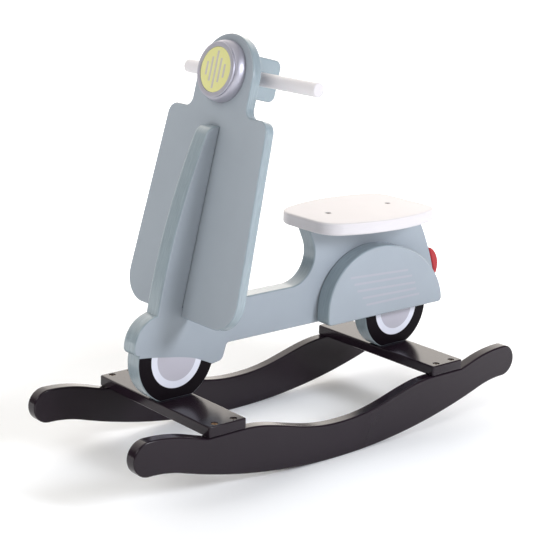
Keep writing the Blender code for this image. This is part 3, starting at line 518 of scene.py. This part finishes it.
# Satin black lacquer on the rockers and cross plates: near black with a plum tint and a clear soft gloss.
blackLook = {"colour": "#20171F", "cloud": 0.08, "drift": 0.06, "peel": 0.006, "rough": 0.18, "relief": 0.10,
             "shine": 0.28}
blackLacquer = plainLacquer("satin_black_lacquer", blackLook)
redLacquer = plainLacquer("satin_red_lacquer", {
    "colour": "#A8262D", "cloud": 0.03, "drift": 0.03, "peel": 0.005, "rough": 0.35, "relief": 0.06,
    "shine": 0.28})
blockLacquer = plainLacquer("spray_lacquer_teal_grey", {**blueLook, "colour": blueLook["edge"]})
# Turned steel, zinc plated yellow: a fine grain, drawn 0.8 mm wide, and a soft shine. The grey brown given
# to all but one is painted shade for heads sunk in their bores; the one left yellow looks like brass.
screwLook = {"colour": "#6F645C", "grain": 0.0008, "detail": 3.0, "rough": (0.28, 0.48), "relief": 0.2,
             "depth": 0.0001, "metallic": 1.0}
shadedScrewSteel = grainyFinish("zinc_steel_painted_shade", screwLook)
yellowZinc = grainyFinish("yellow_zinc_steel", {**screwLook, "colour": "#C7A27A"})
bareBeech = beechFinish()
print("finishes made:", len(bpy.data.materials))


# Rockers: rocking arc below, band above it, upturned round tips, and a dipped waist between the plates.

def rockerPath():
    # Half an outline, from the middle of the rocking arc round the tip and back, and then its mirror image.
    low = angleOf(rails["reach"] / rails["radius"])
    turnReach = rails["tipReach"] / sin(radians(low))
    turnCentre = (rails["tipReach"], rails["radius"] - turnReach * cos(radians(low)))
    turnRadius = turnReach - rails["radius"]
    tip = (rails["tipReach"], turnCentre[1] + turnRadius + rails["band"] / 2)
    inner = rails["radius"] - rails["band"]
    end = angleOf(railEnd / inner)
    plateInner = body["axleY"] - plates["depth"] / 2
    # The waist dips from a plate's flat to the middle along half a cosine wave.
    share = np.linspace(1, 0, 61)
    waist = rails["waist"] + (railTop - rails["waist"]) * (1 - np.cos(pi * share ** rails["waistPower"])) / 2
    half = np.vstack((
        arc((0, rails["radius"]), rails["radius"], -90, -90 + low, 60),
        arc(turnCentre, turnRadius, 90 + low, 90, 16)[1:],
        arc(tip, rails["band"] / 2, -90, 90, 36)[1:],
        arc(turnCentre, turnRadius + rails["band"], 90, 90 + low, 16)[1:],
        arc((0, rails["radius"]), inner, -90 + low, -90 + end, 10)[1:],
        np.column_stack((plateInner * share, waist))))
    return closed(half, mirrored(half))


def makeRockers():
    path = rockerPath()
    for name, x in (("rocker_left", railX), ("rocker_right", -railX)):
        points, faces = boardSurface(path, rails["thick"], rails["edge"])
        makePiece(name + "_board", moved(points, sideAxes, (x, 0, 0)), faces, blackLacquer,
                  nodes=(name,))


# Sunk screws: the radii of head and shank, how far the head sits below the face, and the bore's depth.

plateScrew = {"head": 0.0048, "shank": 0.0030, "sink": 0.0012, "depth": 0.0155}
shieldScrew = {"head": 0.0042, "shank": 0.0022, "sink": 0.0010, "depth": 0.0145}
seatBolt = {"head": 0.0046, "shank": 0.0030, "sink": 0.0010, "depth": 0.0185}
mouthBevel = 0.0003


def sunkHole(u, v, side, screw):
    # A bevelled mouth, a straight bore for the head's rim, a cone at 45 degrees, and a bore for the shank.
    wide, slim = screw["head"] + clear, screw["shank"] + clear
    land = screw["head"] / 4 + screw["sink"]
    coneEnd = land + screw["head"] - screw["shank"]
    return (u, v, side, [(wide + mouthBevel, 0.0), (wide, mouthBevel), (wide, land), (slim, coneEnd),
                         (slim, screw["depth"])])


def makePlates():
    halfX, halfY = rails["span"] / 2, plates["depth"] / 2
    corner = plates["corner"]
    path = roundCorners([(-halfX, -halfY, corner), (halfX, -halfY, corner), (halfX, halfY, corner),
                         (-halfX, halfY, corner)], 6)
    onRail, onWheel = plates["screwPitch"] / 2, plates["wheelScrewPitch"] / 2
    holes = [sunkHole(x, y, 1, plateScrew) for x in (railX, -railX) for y in (-onRail, onRail)]
    holes += [sunkHole(0, y, -1, plateScrew) for y in (-onWheel, onWheel)]
    for name, y in (("plate_front", -body["axleY"]), ("plate_rear", body["axleY"])):
        points, faces = boardSurface(path, plates["thick"], plates["edge"], holes)
        makePiece(name + "_board", moved(points, flatAxes, (0, y, plateBottom + plates["thick"] / 2)), faces,
                  blackLacquer, nodes=(name,))


# Centre board: the scooter's side view cut from one board, wheels and all. Tail and nose reach past their
# axles by their overhang, the heel lies behind the front axle, and the fin stands on the floorboard. Lean,
# slope, turn and footTurn are in degrees, and arch is the radius of the hollow before the rear wheel.

tail = {"overhang": 0.0862, "corner": 0.028, "curve": 0.385, "turn": 14.3}
nose = {"overhang": 0.0737, "rise": 0.0222, "radius": 0.046, "lip": 0.008}
heel = {"behind": 0.0756, "below": 0.0102, "radius": 0.0105, "lean": 18.0, "slope": 8.0, "fillet": 0.005}
fin = {"rise": 0.257, "depth": 0.0203, "drop": 0.007, "footTurn": 98.7, "curve": 1.050, "corner": 0.018}
riser = {"y": -0.006, "radius": 0.045, "lean": 25.0, "arch": 0.020, "seatOverhang": 0.004}

tailCorner = (body["axleY"] + tail["overhang"] - tail["corner"], sillZ + tail["corner"])
tailReach = tail["curve"] - tail["corner"]
tailCentre = (tailCorner[0] - tailReach * cos(radians(tail["turn"])),
              tailCorner[1] - tailReach * sin(radians(tail["turn"])))
browY = riser["y"] + riser["radius"] * cos(radians(riser["lean"]))
browZ = floorZ + riser["radius"] * (1 + sin(radians(riser["lean"])))
bearerY = browY - (bearerZ - browZ) * tan(radians(riser["lean"]))
seatFrontY = bearerY - riser["seatOverhang"]


def finBack(height):
    # The fin's back edge follows the shield's slope, clear of its front face.
    return (footY - clear / cos(slope["lean"]) + (height - floorZ) * tan(slope["lean"]), height)


def heelTuck(centre):
    # Where the line along the heel's underside runs into the wheel. Spoke goes from the axle to the line's
    # start, and spoke - way * t lies on the wheel's circle.
    wheel = body["wheelRadius"]
    way = np.array((cos(radians(heel["slope"])), sin(radians(heel["slope"]))))
    spoke = centre + heel["radius"] * np.array((way[1], -way[0])) - frontAxle
    ahead = np.dot(spoke, way)
    return bearing((0, 0), spoke - way * (ahead - (wheel ** 2 - np.dot(spoke, spoke) + ahead ** 2) ** 0.5))


def centreBoardPath():
    # From the front wheel's foot along the underside and up the tail, then back over riser, fin and nose.
    wheel, arch = body["wheelRadius"], riser["arch"]
    flat = angleOf(body["axleRise"] / wheel)
    heelCentre = np.array((frontAxle[0] + heel["behind"], frontAxle[1] - heel["below"]))
    lean = radians(heel["lean"])
    hollowZ = sillZ - heel["fillet"]
    reach = heel["radius"] + heel["fillet"] + (hollowZ - heelCentre[1]) * sin(lean)
    hollow = (heelCentre[0] + reach / cos(lean), hollowZ)
    rearArch = centreOnLine(rearAxle, wheel + arch, sillZ - arch, -1)
    meet = bearing(rearArch, rearAxle)
    notch = circlesMeet(rearAxle, wheel, tailCorner, tail["corner"], -1)
    top = angleOf((bearerZ - tailCentre[1]) / tail["curve"])
    finZ = floorZ + fin["rise"]
    headZ = finZ - fin["drop"]
    head = (finBack(headZ)[0] - fin["depth"], headZ)
    noseCentre = (nose["radius"] - nose["overhang"] - body["axleY"], axleZ + nose["rise"])
    foot = arc(noseCentre, nose["radius"], fin["footTurn"], fin["footTurn"], 1)[0]
    half = (foot - head) / 2
    across = np.array((-half[1], half[0])) / np.hypot(*half)
    finCentre = head + half + across * (fin["curve"] ** 2 - np.dot(half, half)) ** 0.5
    corner = centreOnLine(finCentre, fin["curve"] - fin["corner"], finZ - fin["corner"], -1)
    lip = (noseCentre[0] + nose["lip"] - nose["radius"], noseCentre[1])
    tuck = circlesMeet(frontAxle, wheel, lip, nose["lip"], 1)
    return closed(
        arc(frontAxle, wheel, -flat, heelTuck(heelCentre), 32),
        arc(heelCentre, heel["radius"], heel["slope"] - 90, -heel["lean"], 20),
        arc(hollow, heel["fillet"], 180 - heel["lean"], 90, 14),
        arc(rearArch, arch, 90, meet, 20),
        arc(rearAxle, wheel, 180 + meet, 180 + flat, 40),
        arc(rearAxle, wheel, -flat, bearing(rearAxle, notch), 48),
        arc(tailCorner, tail["corner"], bearing(tailCorner, notch), tail["turn"], 24),
        arc(tailCentre, tail["curve"], tail["turn"], top, 32),
        [(bearerY, bearerZ)],
        arc((riser["y"], floorZ + riser["radius"]), riser["radius"], riser["lean"], -90, 48),
        [onSlope(notchRise, -slope["thick"])[1:], onSlope(notchRise, clear)[1:], finBack(finZ)],
        arc(corner, fin["corner"], 90, bearing(finCentre, corner) % 360, 20),
        arc(finCentre, fin["curve"], bearing(finCentre, corner) % 360, bearing(finCentre, foot) % 360, 48),
        arc(noseCentre, nose["radius"], fin["footTurn"], 180, 32),
        arc(lip, nose["lip"], 180, bearing(lip, tuck) % 360, 12),
        arc(frontAxle, wheel, bearing(frontAxle, tuck) % 360, 180 + flat, 48))


def makeCentreBoard():
    points, faces = boardSurface(centreBoardPath(), body["thick"], body["edge"])
    makePiece("centre_board_cut", moved(points, sideAxes, (0, 0, 0)), faces, centreBoardFinish(),
              nodes=("centre_board",))


# Leg shield: rounded lower corners, shoulders, a neck and a round head, notched over the floorboard.

shield = {"drop": 0.0111, "half": 0.129, "taper": 0.0646, "shoulder": 0.2839, "corner": 0.042,
          "shoulderCorner": 0.017, "neck": 0.0135, "head": 0.3335, "headRadius": 0.0608, "edge": 0.0025,
          "crisp": 0.003, "screwRises": (0.045, 0.140, 0.222)}


def makeShield():
    notch, notchTop, crisp = body["thick"] / 2 + clear, notchRise + clear, shield["crisp"]
    shoulder = shield["half"] - shield["taper"] * (shield["shoulder"] + shield["drop"])
    right = roundCorners([
        (notch, notchTop, 0), (notch, -shield["drop"], 0), (notch + crisp, -shield["drop"], 0),
        (shield["half"], -shield["drop"], shield["corner"]),
        (shoulder, shield["shoulder"], shield["shoulderCorner"]),
        (shield["headRadius"], shield["shoulder"], shield["neck"]),
        (shield["headRadius"], shield["head"], 0)], 20)
    path = closed(right, arc((0, shield["head"]), shield["headRadius"], 0, 180, 72), mirrored(right))
    holes = [sunkHole(0, rise, -1, shieldScrew) for rise in shield["screwRises"]]
    # The notch fits close over the floorboard, so its rims stay sharp.
    share = (np.abs(path[:, :1]) > notch + crisp / 2) | (path[:, 1:] > notchTop + crisp / 2)
    points, faces = boardSurface(path, slope["thick"], shield["edge"], holes, share)
    middle = onSlope(0, -slope["thick"] / 2)
    makePiece("leg_shield_board", moved(points, slopeAxes, middle), faces, shieldFinish(),
              nodes=("leg_shield",))


# Handlebar: a block behind the neck and a round bar through it.

bar = {"rise": 0.3400, "setback": 0.048, "radius": 0.010, "length": 0.290, "roundOver": 0.0018,
       "soft": 0.0005, "blockThick": 0.028, "blockReach": 0.0889, "below": 0.0295, "above": 0.0312,
       "corner": 0.011, "edge": 0.0025, "boreBevel": 0.0006}


def makeHandlebar():
    front = slope["thick"] + clear
    low, high = bar["rise"] - bar["below"], bar["rise"] + bar["above"]
    path = closed(roundCorners([(front, low, 0), (bar["blockReach"], low, bar["corner"]),
                                (bar["blockReach"], high, bar["corner"]), (front, high, 0)], 14))
    bore, bevel, through = bar["radius"] + clear, bar["boreBevel"], bar["blockThick"]
    hole = (bar["setback"], bar["rise"], 0, [
        (bore + bevel, 0.0), (bore, bevel), (bore, through - bevel), (bore + bevel, through)])
    points, faces = boardSurface(path, bar["blockThick"], bar["edge"], [hole])
    makePiece("handlebar_block_cut", moved(points, blockAxes, slopeFoot), faces, blockLacquer,
              nodes=("handlebar_block",))
    half, over, soft = bar["length"] / 2, bar["roundOver"], bar["soft"]
    end = roundOver(bar["radius"], half, over, 8)
    profile = np.vstack(([(bar["radius"] - over - soft, half)], end, [(bar["radius"], half - over - soft)]))
    profile = np.vstack((profile, profile[::-1] * (1, -1)))
    points, faces = turnedSurface(profile, 64)
    centre = onSlope(bar["rise"], -bar["setback"])
    # The bar's own height runs along +X, as a side view's thickness does.
    makePiece("handlebar_bar", moved(points, sideAxes, centre), faces, barFinish(),
              nodes=("handlebar_rod",))


# Headlamp: a turned ring with a bulge behind a stepped rim, and a flat printed disc in it.

lamp = {"rise": 0.3400, "depth": 0.0185, "bulge": 0.0442, "bulgeDepth": 0.0150, "groove": 0.0383,
        "rim": 0.0393, "rimFoot": 0.0006, "edge": 0.0009, "lens": 0.0320, "lensThick": 0.0060,
        "lensEdge": 0.0006, "sink": 0.0006}
# Silver lacquer on turned wood: aluminium flake under clear, a soft lilac grey with a broad highlight. The
# flake is drawn 1.5 mm wide.
silverLook = {"colour": "#A9A8B3", "grain": 0.0015, "detail": 2.0, "rough": (0.38, 0.46), "relief": 0.06,
              "depth": 0.0002, "metallic": 0.55}


def makeHeadlamp():
    lensFloor = lamp["depth"] - lamp["sink"] - lamp["lensThick"] - clear
    # The bulge is a quarter ellipse from the foot of the rim out to the shield.
    t = np.linspace(0, pi / 2, 25)
    swell = np.column_stack((lamp["groove"] + (lamp["bulge"] - lamp["groove"]) * np.sin(t),
                             lamp["bulgeDepth"] * np.cos(t)))
    wide = lamp["lens"] + clear
    rimIn = roundOver(wide, lamp["depth"], lamp["edge"], side=-1)[::-1]
    rimOut = roundOver(lamp["rim"], lamp["depth"], lamp["edge"])
    profile = np.vstack(([(wide / 2, lensFloor), (wide, lensFloor)], rimIn, rimOut,
                         [(lamp["rim"], lamp["bulgeDepth"] + lamp["rimFoot"])], swell))
    points, faces = turnedSurface(profile, 128)
    origin = onSlope(lamp["rise"], clear)
    silver = grainyFinish("silver_lacquer_on_turned_wood", silverLook)
    makePiece("headlamp_ring_turned", moved(points, slopeAxes, origin), faces, silver,
              nodes=("headlamp_ring",))
    disc, thick = lamp["lens"], lamp["lensThick"]
    profile = np.vstack(([(disc / 2, thick)], roundOver(disc, thick, lamp["lensEdge"]), [(disc, 0.0)]))
    points, faces = turnedSurface(profile, 96)
    origin = origin + np.array(out) * (lensFloor + clear)
    makePiece("headlamp_lens_disc", moved(points, slopeAxes, origin), faces, lensFinish(lamp["rise"]),
              nodes=("headlamp_lens",))


# Seat: a white board with bowed sides and two sunk bolts.

seat = {"thick": 0.019, "length": 0.2265, "half": 0.085, "widest": 0.1235, "side": 0.270,
        "frontCorner": 0.042, "backCorner": 0.032, "edge": 0.003, "bolts": (0.0531, 0.1802)}


def makeSeat():
    side = (seat["half"] - seat["side"], seat["widest"])
    front = centreOnLine(side, seat["side"] - seat["frontCorner"], seat["frontCorner"], 1)
    back = centreOnLine(side, seat["side"] - seat["backCorner"], seat["length"] - seat["backCorner"], 1)
    first, last = bearing(side, front), bearing(side, back)
    right = np.vstack((
        arc(front, seat["frontCorner"], -90, first, 32), arc(side, seat["side"], first, last, 40),
        arc(back, seat["backCorner"], last, 90, 32)))
    holes = [sunkHole(0, at, 1, seatBolt) for at in seat["bolts"]]
    points, faces = boardSurface(closed(right, mirrored(right)), seat["thick"], seat["edge"], holes)
    middle = (0, seatFrontY, bearerZ + clear + seat["thick"] / 2)
    makePiece("seat_top_board", moved(points, flatAxes, middle), faces, seatFinish(),
              nodes=("seat_board",))


# Cowls: a quarter ellipse before the crest and a quarter superellipse behind it, flat along the sill. The
# rear curve starts a few degrees up, where its corner takes over.

cowl = {"thick": 0.028, "crestAhead": 0.069, "crest": 0.1129, "front": 0.1045, "frontRise": 0.0905,
        "back": 0.1456, "power": 1.85, "rearStart": 6.0, "frontCorner": 0.008, "backCorner": 0.007,
        "edge": 0.003}


def makeCowls():
    t = np.radians(np.linspace(cowl["rearStart"], 90, 64))
    flatter = 2 / cowl["power"]
    rear = np.column_stack((cowl["back"] * np.cos(t) ** flatter, cowl["crest"] * np.sin(t) ** flatter))
    t = np.radians(np.linspace(90, 180, 64))[1:]
    fore = np.column_stack((cowl["front"] * np.cos(t), cowl["crest"] - cowl["frontRise"] * (1 - np.sin(t))))
    upper = np.vstack((rear, fore))
    corners = [(-cowl["front"], 0, cowl["frontCorner"]), (cowl["back"], 0, cowl["backCorner"])]
    foot = roundCorners([tuple(fore[-1]) + (0,)] + corners + [tuple(rear[0]) + (0,)], 12)
    path = closed(foot[1:-1], upper)
    x = body["thick"] / 2 + clear + cowl["thick"] / 2
    finish = cowlFinish(x + cowl["thick"] / 2)
    crestY = body["axleY"] - cowl["crestAhead"]
    for name, side in (("cowl_left", 1), ("cowl_right", -1)):
        points, faces = boardSurface(path, cowl["thick"], cowl["edge"])
        makePiece(name + "_cover", moved(points, sideAxes, (side * x, crestY, sillZ)), faces, finish,
                  nodes=(name,))


# Tail lamp: its inner edge follows the tail, its outer edge is a tighter arc over the same chord.

tailLamp = {"thick": 0.028, "rise": 0.0596, "chord": 0.056, "bulge": 0.0145, "tip": 0.0034, "edge": 0.0025}


def makeTailLamp():
    reach = tail["curve"] + clear
    middle = angleOf((sillZ + tailLamp["rise"] - tailCentre[1]) / tail["curve"])
    half = angleOf(tailLamp["chord"] / 2 / reach)
    ends = arc(tailCentre, reach, middle + half, middle - half, 1)
    radius = (tailLamp["chord"] ** 2 / 4 + tailLamp["bulge"] ** 2) / (2 * tailLamp["bulge"])
    outward = np.array((cos(radians(middle)), sin(radians(middle))))
    centre = (ends[0] + ends[1]) / 2 - outward * (radius - tailLamp["bulge"])
    tip = tailLamp["tip"]
    low, high = (circlesMeet(tailCentre, reach + tip, centre, radius - tip, side) for side in (-1, 1))
    path = closed(
        arc(tailCentre, reach, bearing(tailCentre, high), bearing(tailCentre, low), 16),
        arc(low, tip, bearing(low, tailCentre) % 360, bearing(centre, low) % 360, 12),
        arc(centre, radius, bearing(centre, low), bearing(centre, high), 40),
        arc(high, tip, bearing(centre, high), bearing(high, tailCentre) % 360, 12))
    points, faces = boardSurface(path, tailLamp["thick"], tailLamp["edge"])
    makePiece("tail_lamp_half_round", moved(points, sideAxes, (0, 0, 0)), faces, redLacquer,
              nodes=("tail_lamp",))


# Carried-over screws, bolts and dowels keep their shape and get their finish.

def dressHardware():
    for name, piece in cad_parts.items():
        if "screw" in name or "bolt" in name or "insert" in name:
            # All but plate_screw_1 take the grey brown of painted shade; that one keeps the yellow plating.
            piece.material_slots[0].material = yellowZinc if name == "plate_screw_1" else shadedScrewSteel
        elif "dowel" in name:
            piece.material_slots[0].material = bareBeech


makeRockers()
makePlates()
makeCentreBoard()
makeShield()
makeHandlebar()
makeHeadlamp()
makeSeat()
makeCowls()
makeTailLamp()
dressHardware()


# Studio: a white floor, a tent that glows on the scooter's far side, one round softbox near the scooter's
# left side, and five large soft lights far off, with angles in degrees. The tent goes from dim to bright as
# the cosine of the angle to its way rises over span, and falls to topShare as the sine of elevation rises
# over topSpan. The paper's glow rises over glowSpan, in metres from the middle.

paper = {"half": 60.0, "colour": "#FBFDFF", "rough": 0.9, "shine": 0.1, "glowSpan": (0.45, 1.1),
         "glow": (0.02, 0.55)}
tent = {"dim": 0.06, "bright": 2.4, "way": (-0.82, 0.57, 0.0), "tint": (1.06, 1.0, 0.93), "span": (0.3, 0.7),
        "topSpan": (0.3, 0.75), "topShare": 0.55}
softboxes = {
    "side": {"azimuth": 12, "elevation": 14, "spread": 60, "strength": 0.3, "tint": (0.97, 0.99, 1.05)},
    "front": {"azimuth": 254, "elevation": 42, "spread": 30, "strength": 0.77, "tint": (1.0, 1.0, 1.0)},
    "corner": {"azimuth": 294, "elevation": 38, "spread": 24, "strength": 0.5, "tint": (1.0, 1.0, 1.0)},
    "rim": {"azimuth": 190, "elevation": 46, "spread": 60, "strength": 0.5, "tint": (1.03, 1.0, 0.97)},
    "top": {"azimuth": 0, "elevation": 84, "spread": 50, "strength": 0.45, "tint": (1.03, 1.0, 0.96)}}
near = {"place": (1.50, 0.44, 1.00), "aim": (0.02, -0.02, 0.26), "width": 0.54, "watts": 19.0,
        "tint": (0.97, 0.99, 1.05)}


def paperFinish():
    # White paper, lit more evenly farther off than one near softbox can: it glows a little there.
    finish, tree, place, parts = newFinish("white_paper_floor")
    reach = addNode(tree, "VectorMath", [place], out="Value", operation='LENGTH')
    glow = addNode(tree, "MapRange", {"Value": reach, "From Min": paper["glowSpan"][0],
                                      "From Max": paper["glowSpan"][1], "To Min": paper["glow"][0],
                                      "To Max": paper["glow"][1]})
    surface = addNode(tree, "BsdfPrincipled", {
        "Base Color": linear(paper["colour"]), "Roughness": paper["rough"], "Emission Color": (1, 1, 1, 1),
        "Specular IOR Level": paper["shine"], "Emission Strength": glow})
    addNode(tree, "OutputMaterial", [surface])
    return finish


def makeFloor():
    half = paper["half"]
    mesh = bpy.data.meshes.new("floor")
    corners = [(-half, -half, 0), (half, -half, 0), (half, half, 0), (-half, half, 0)]
    mesh.from_pydata(corners, [], [(0, 1, 2, 3)])
    mesh.materials.append(paperFinish())
    floor = bpy.data.objects.new("floor", mesh)
    bpy.context.scene.collection.objects.link(floor)


def makeTent():
    # The tent rises from nearly dark on the camera's side to a bright backdrop, and dims toward the top.
    world = bpy.data.worlds.new("tent")
    world.use_nodes = True
    tree = world.node_tree
    tree.nodes.clear()
    way = addNode(tree, "TexCoord", out="Generated")
    toBackdrop = addNode(tree, "VectorMath", [way, tent["way"]], out="Value", operation='DOT_PRODUCT')
    height = addNode(tree, "SeparateXYZ", [way], out=2)
    strength = 1.0
    for value, span, first, last in ((toBackdrop, tent["span"], tent["dim"], tent["bright"]),
                                     (height, tent["topSpan"], 1.0, tent["topShare"])):
        share = addNode(tree, "MapRange", {"Value": value, "From Min": span[0], "From Max": span[1],
                                           "To Min": first, "To Max": last}, interpolation_type='SMOOTHSTEP')
        strength = addNode(tree, "Math", [strength, share], operation='MULTIPLY')
    shine = addNode(tree, "Background", {"Color": tent["tint"] + (1,), "Strength": strength})
    addNode(tree, "OutputWorld", [shine])
    bpy.context.scene.world = world


def makeSoftboxes():
    for name, box in softboxes.items():
        light = bpy.data.lights.new(name + "_softbox", 'SUN')
        light.energy, light.angle, light.color = box["strength"], radians(box["spread"]), box["tint"]
        softbox = bpy.data.objects.new(name + "_softbox", light)
        softbox.rotation_euler = (radians(90 - box["elevation"]), 0, radians(90 + box["azimuth"]))
        bpy.context.scene.collection.objects.link(softbox)
    light = bpy.data.lights.new("key_softbox", 'AREA')
    light.shape, light.size, light.energy, light.color = 'DISK', near["width"], near["watts"], near["tint"]
    softbox = bpy.data.objects.new("key_softbox", light)
    softbox.location = near["place"]
    toSoftbox = Vector(near["place"]) - Vector(near["aim"])
    softbox.rotation_euler = toSoftbox.to_track_quat('Z', 'Y').to_euler()
    bpy.context.scene.collection.objects.link(softbox)


# Camera: the photograph's angle, fitted to the rockers, plates and wheel discs. Lens and sensor are in mm.

view = {"place": (1.6008, -1.4145, 0.8344), "yaw": 49.317, "pitch": 15.152, "roll": 1.761, "lens": 97.68,
        "sensor": 36.0, "sight": 200.0}


def makeCamera():
    yaw, pitch, roll = (radians(view[k]) for k in ("yaw", "pitch", "roll"))
    back = Vector((sin(yaw) * cos(pitch), -cos(yaw) * cos(pitch), sin(pitch)))
    right = Vector((cos(yaw), sin(yaw), 0))
    over = back.cross(right)
    columns = (right * cos(roll) + over * sin(roll), over * cos(roll) - right * sin(roll), back)
    camera = bpy.data.cameras.new("camera")
    camera.lens, camera.sensor_width, camera.clip_end = view["lens"], view["sensor"], view["sight"]
    holder = bpy.data.objects.new("camera", camera)
    holder.matrix_world = Matrix.Translation(view["place"]) @ Matrix(columns).transposed().to_4x4()
    bpy.context.scene.collection.objects.link(holder)
    bpy.context.scene.camera = holder


makeFloor()
makeTent()
makeSoftboxes()
makeCamera()
bpy.context.scene.view_settings.view_transform = 'Standard'
print("studio and camera made")
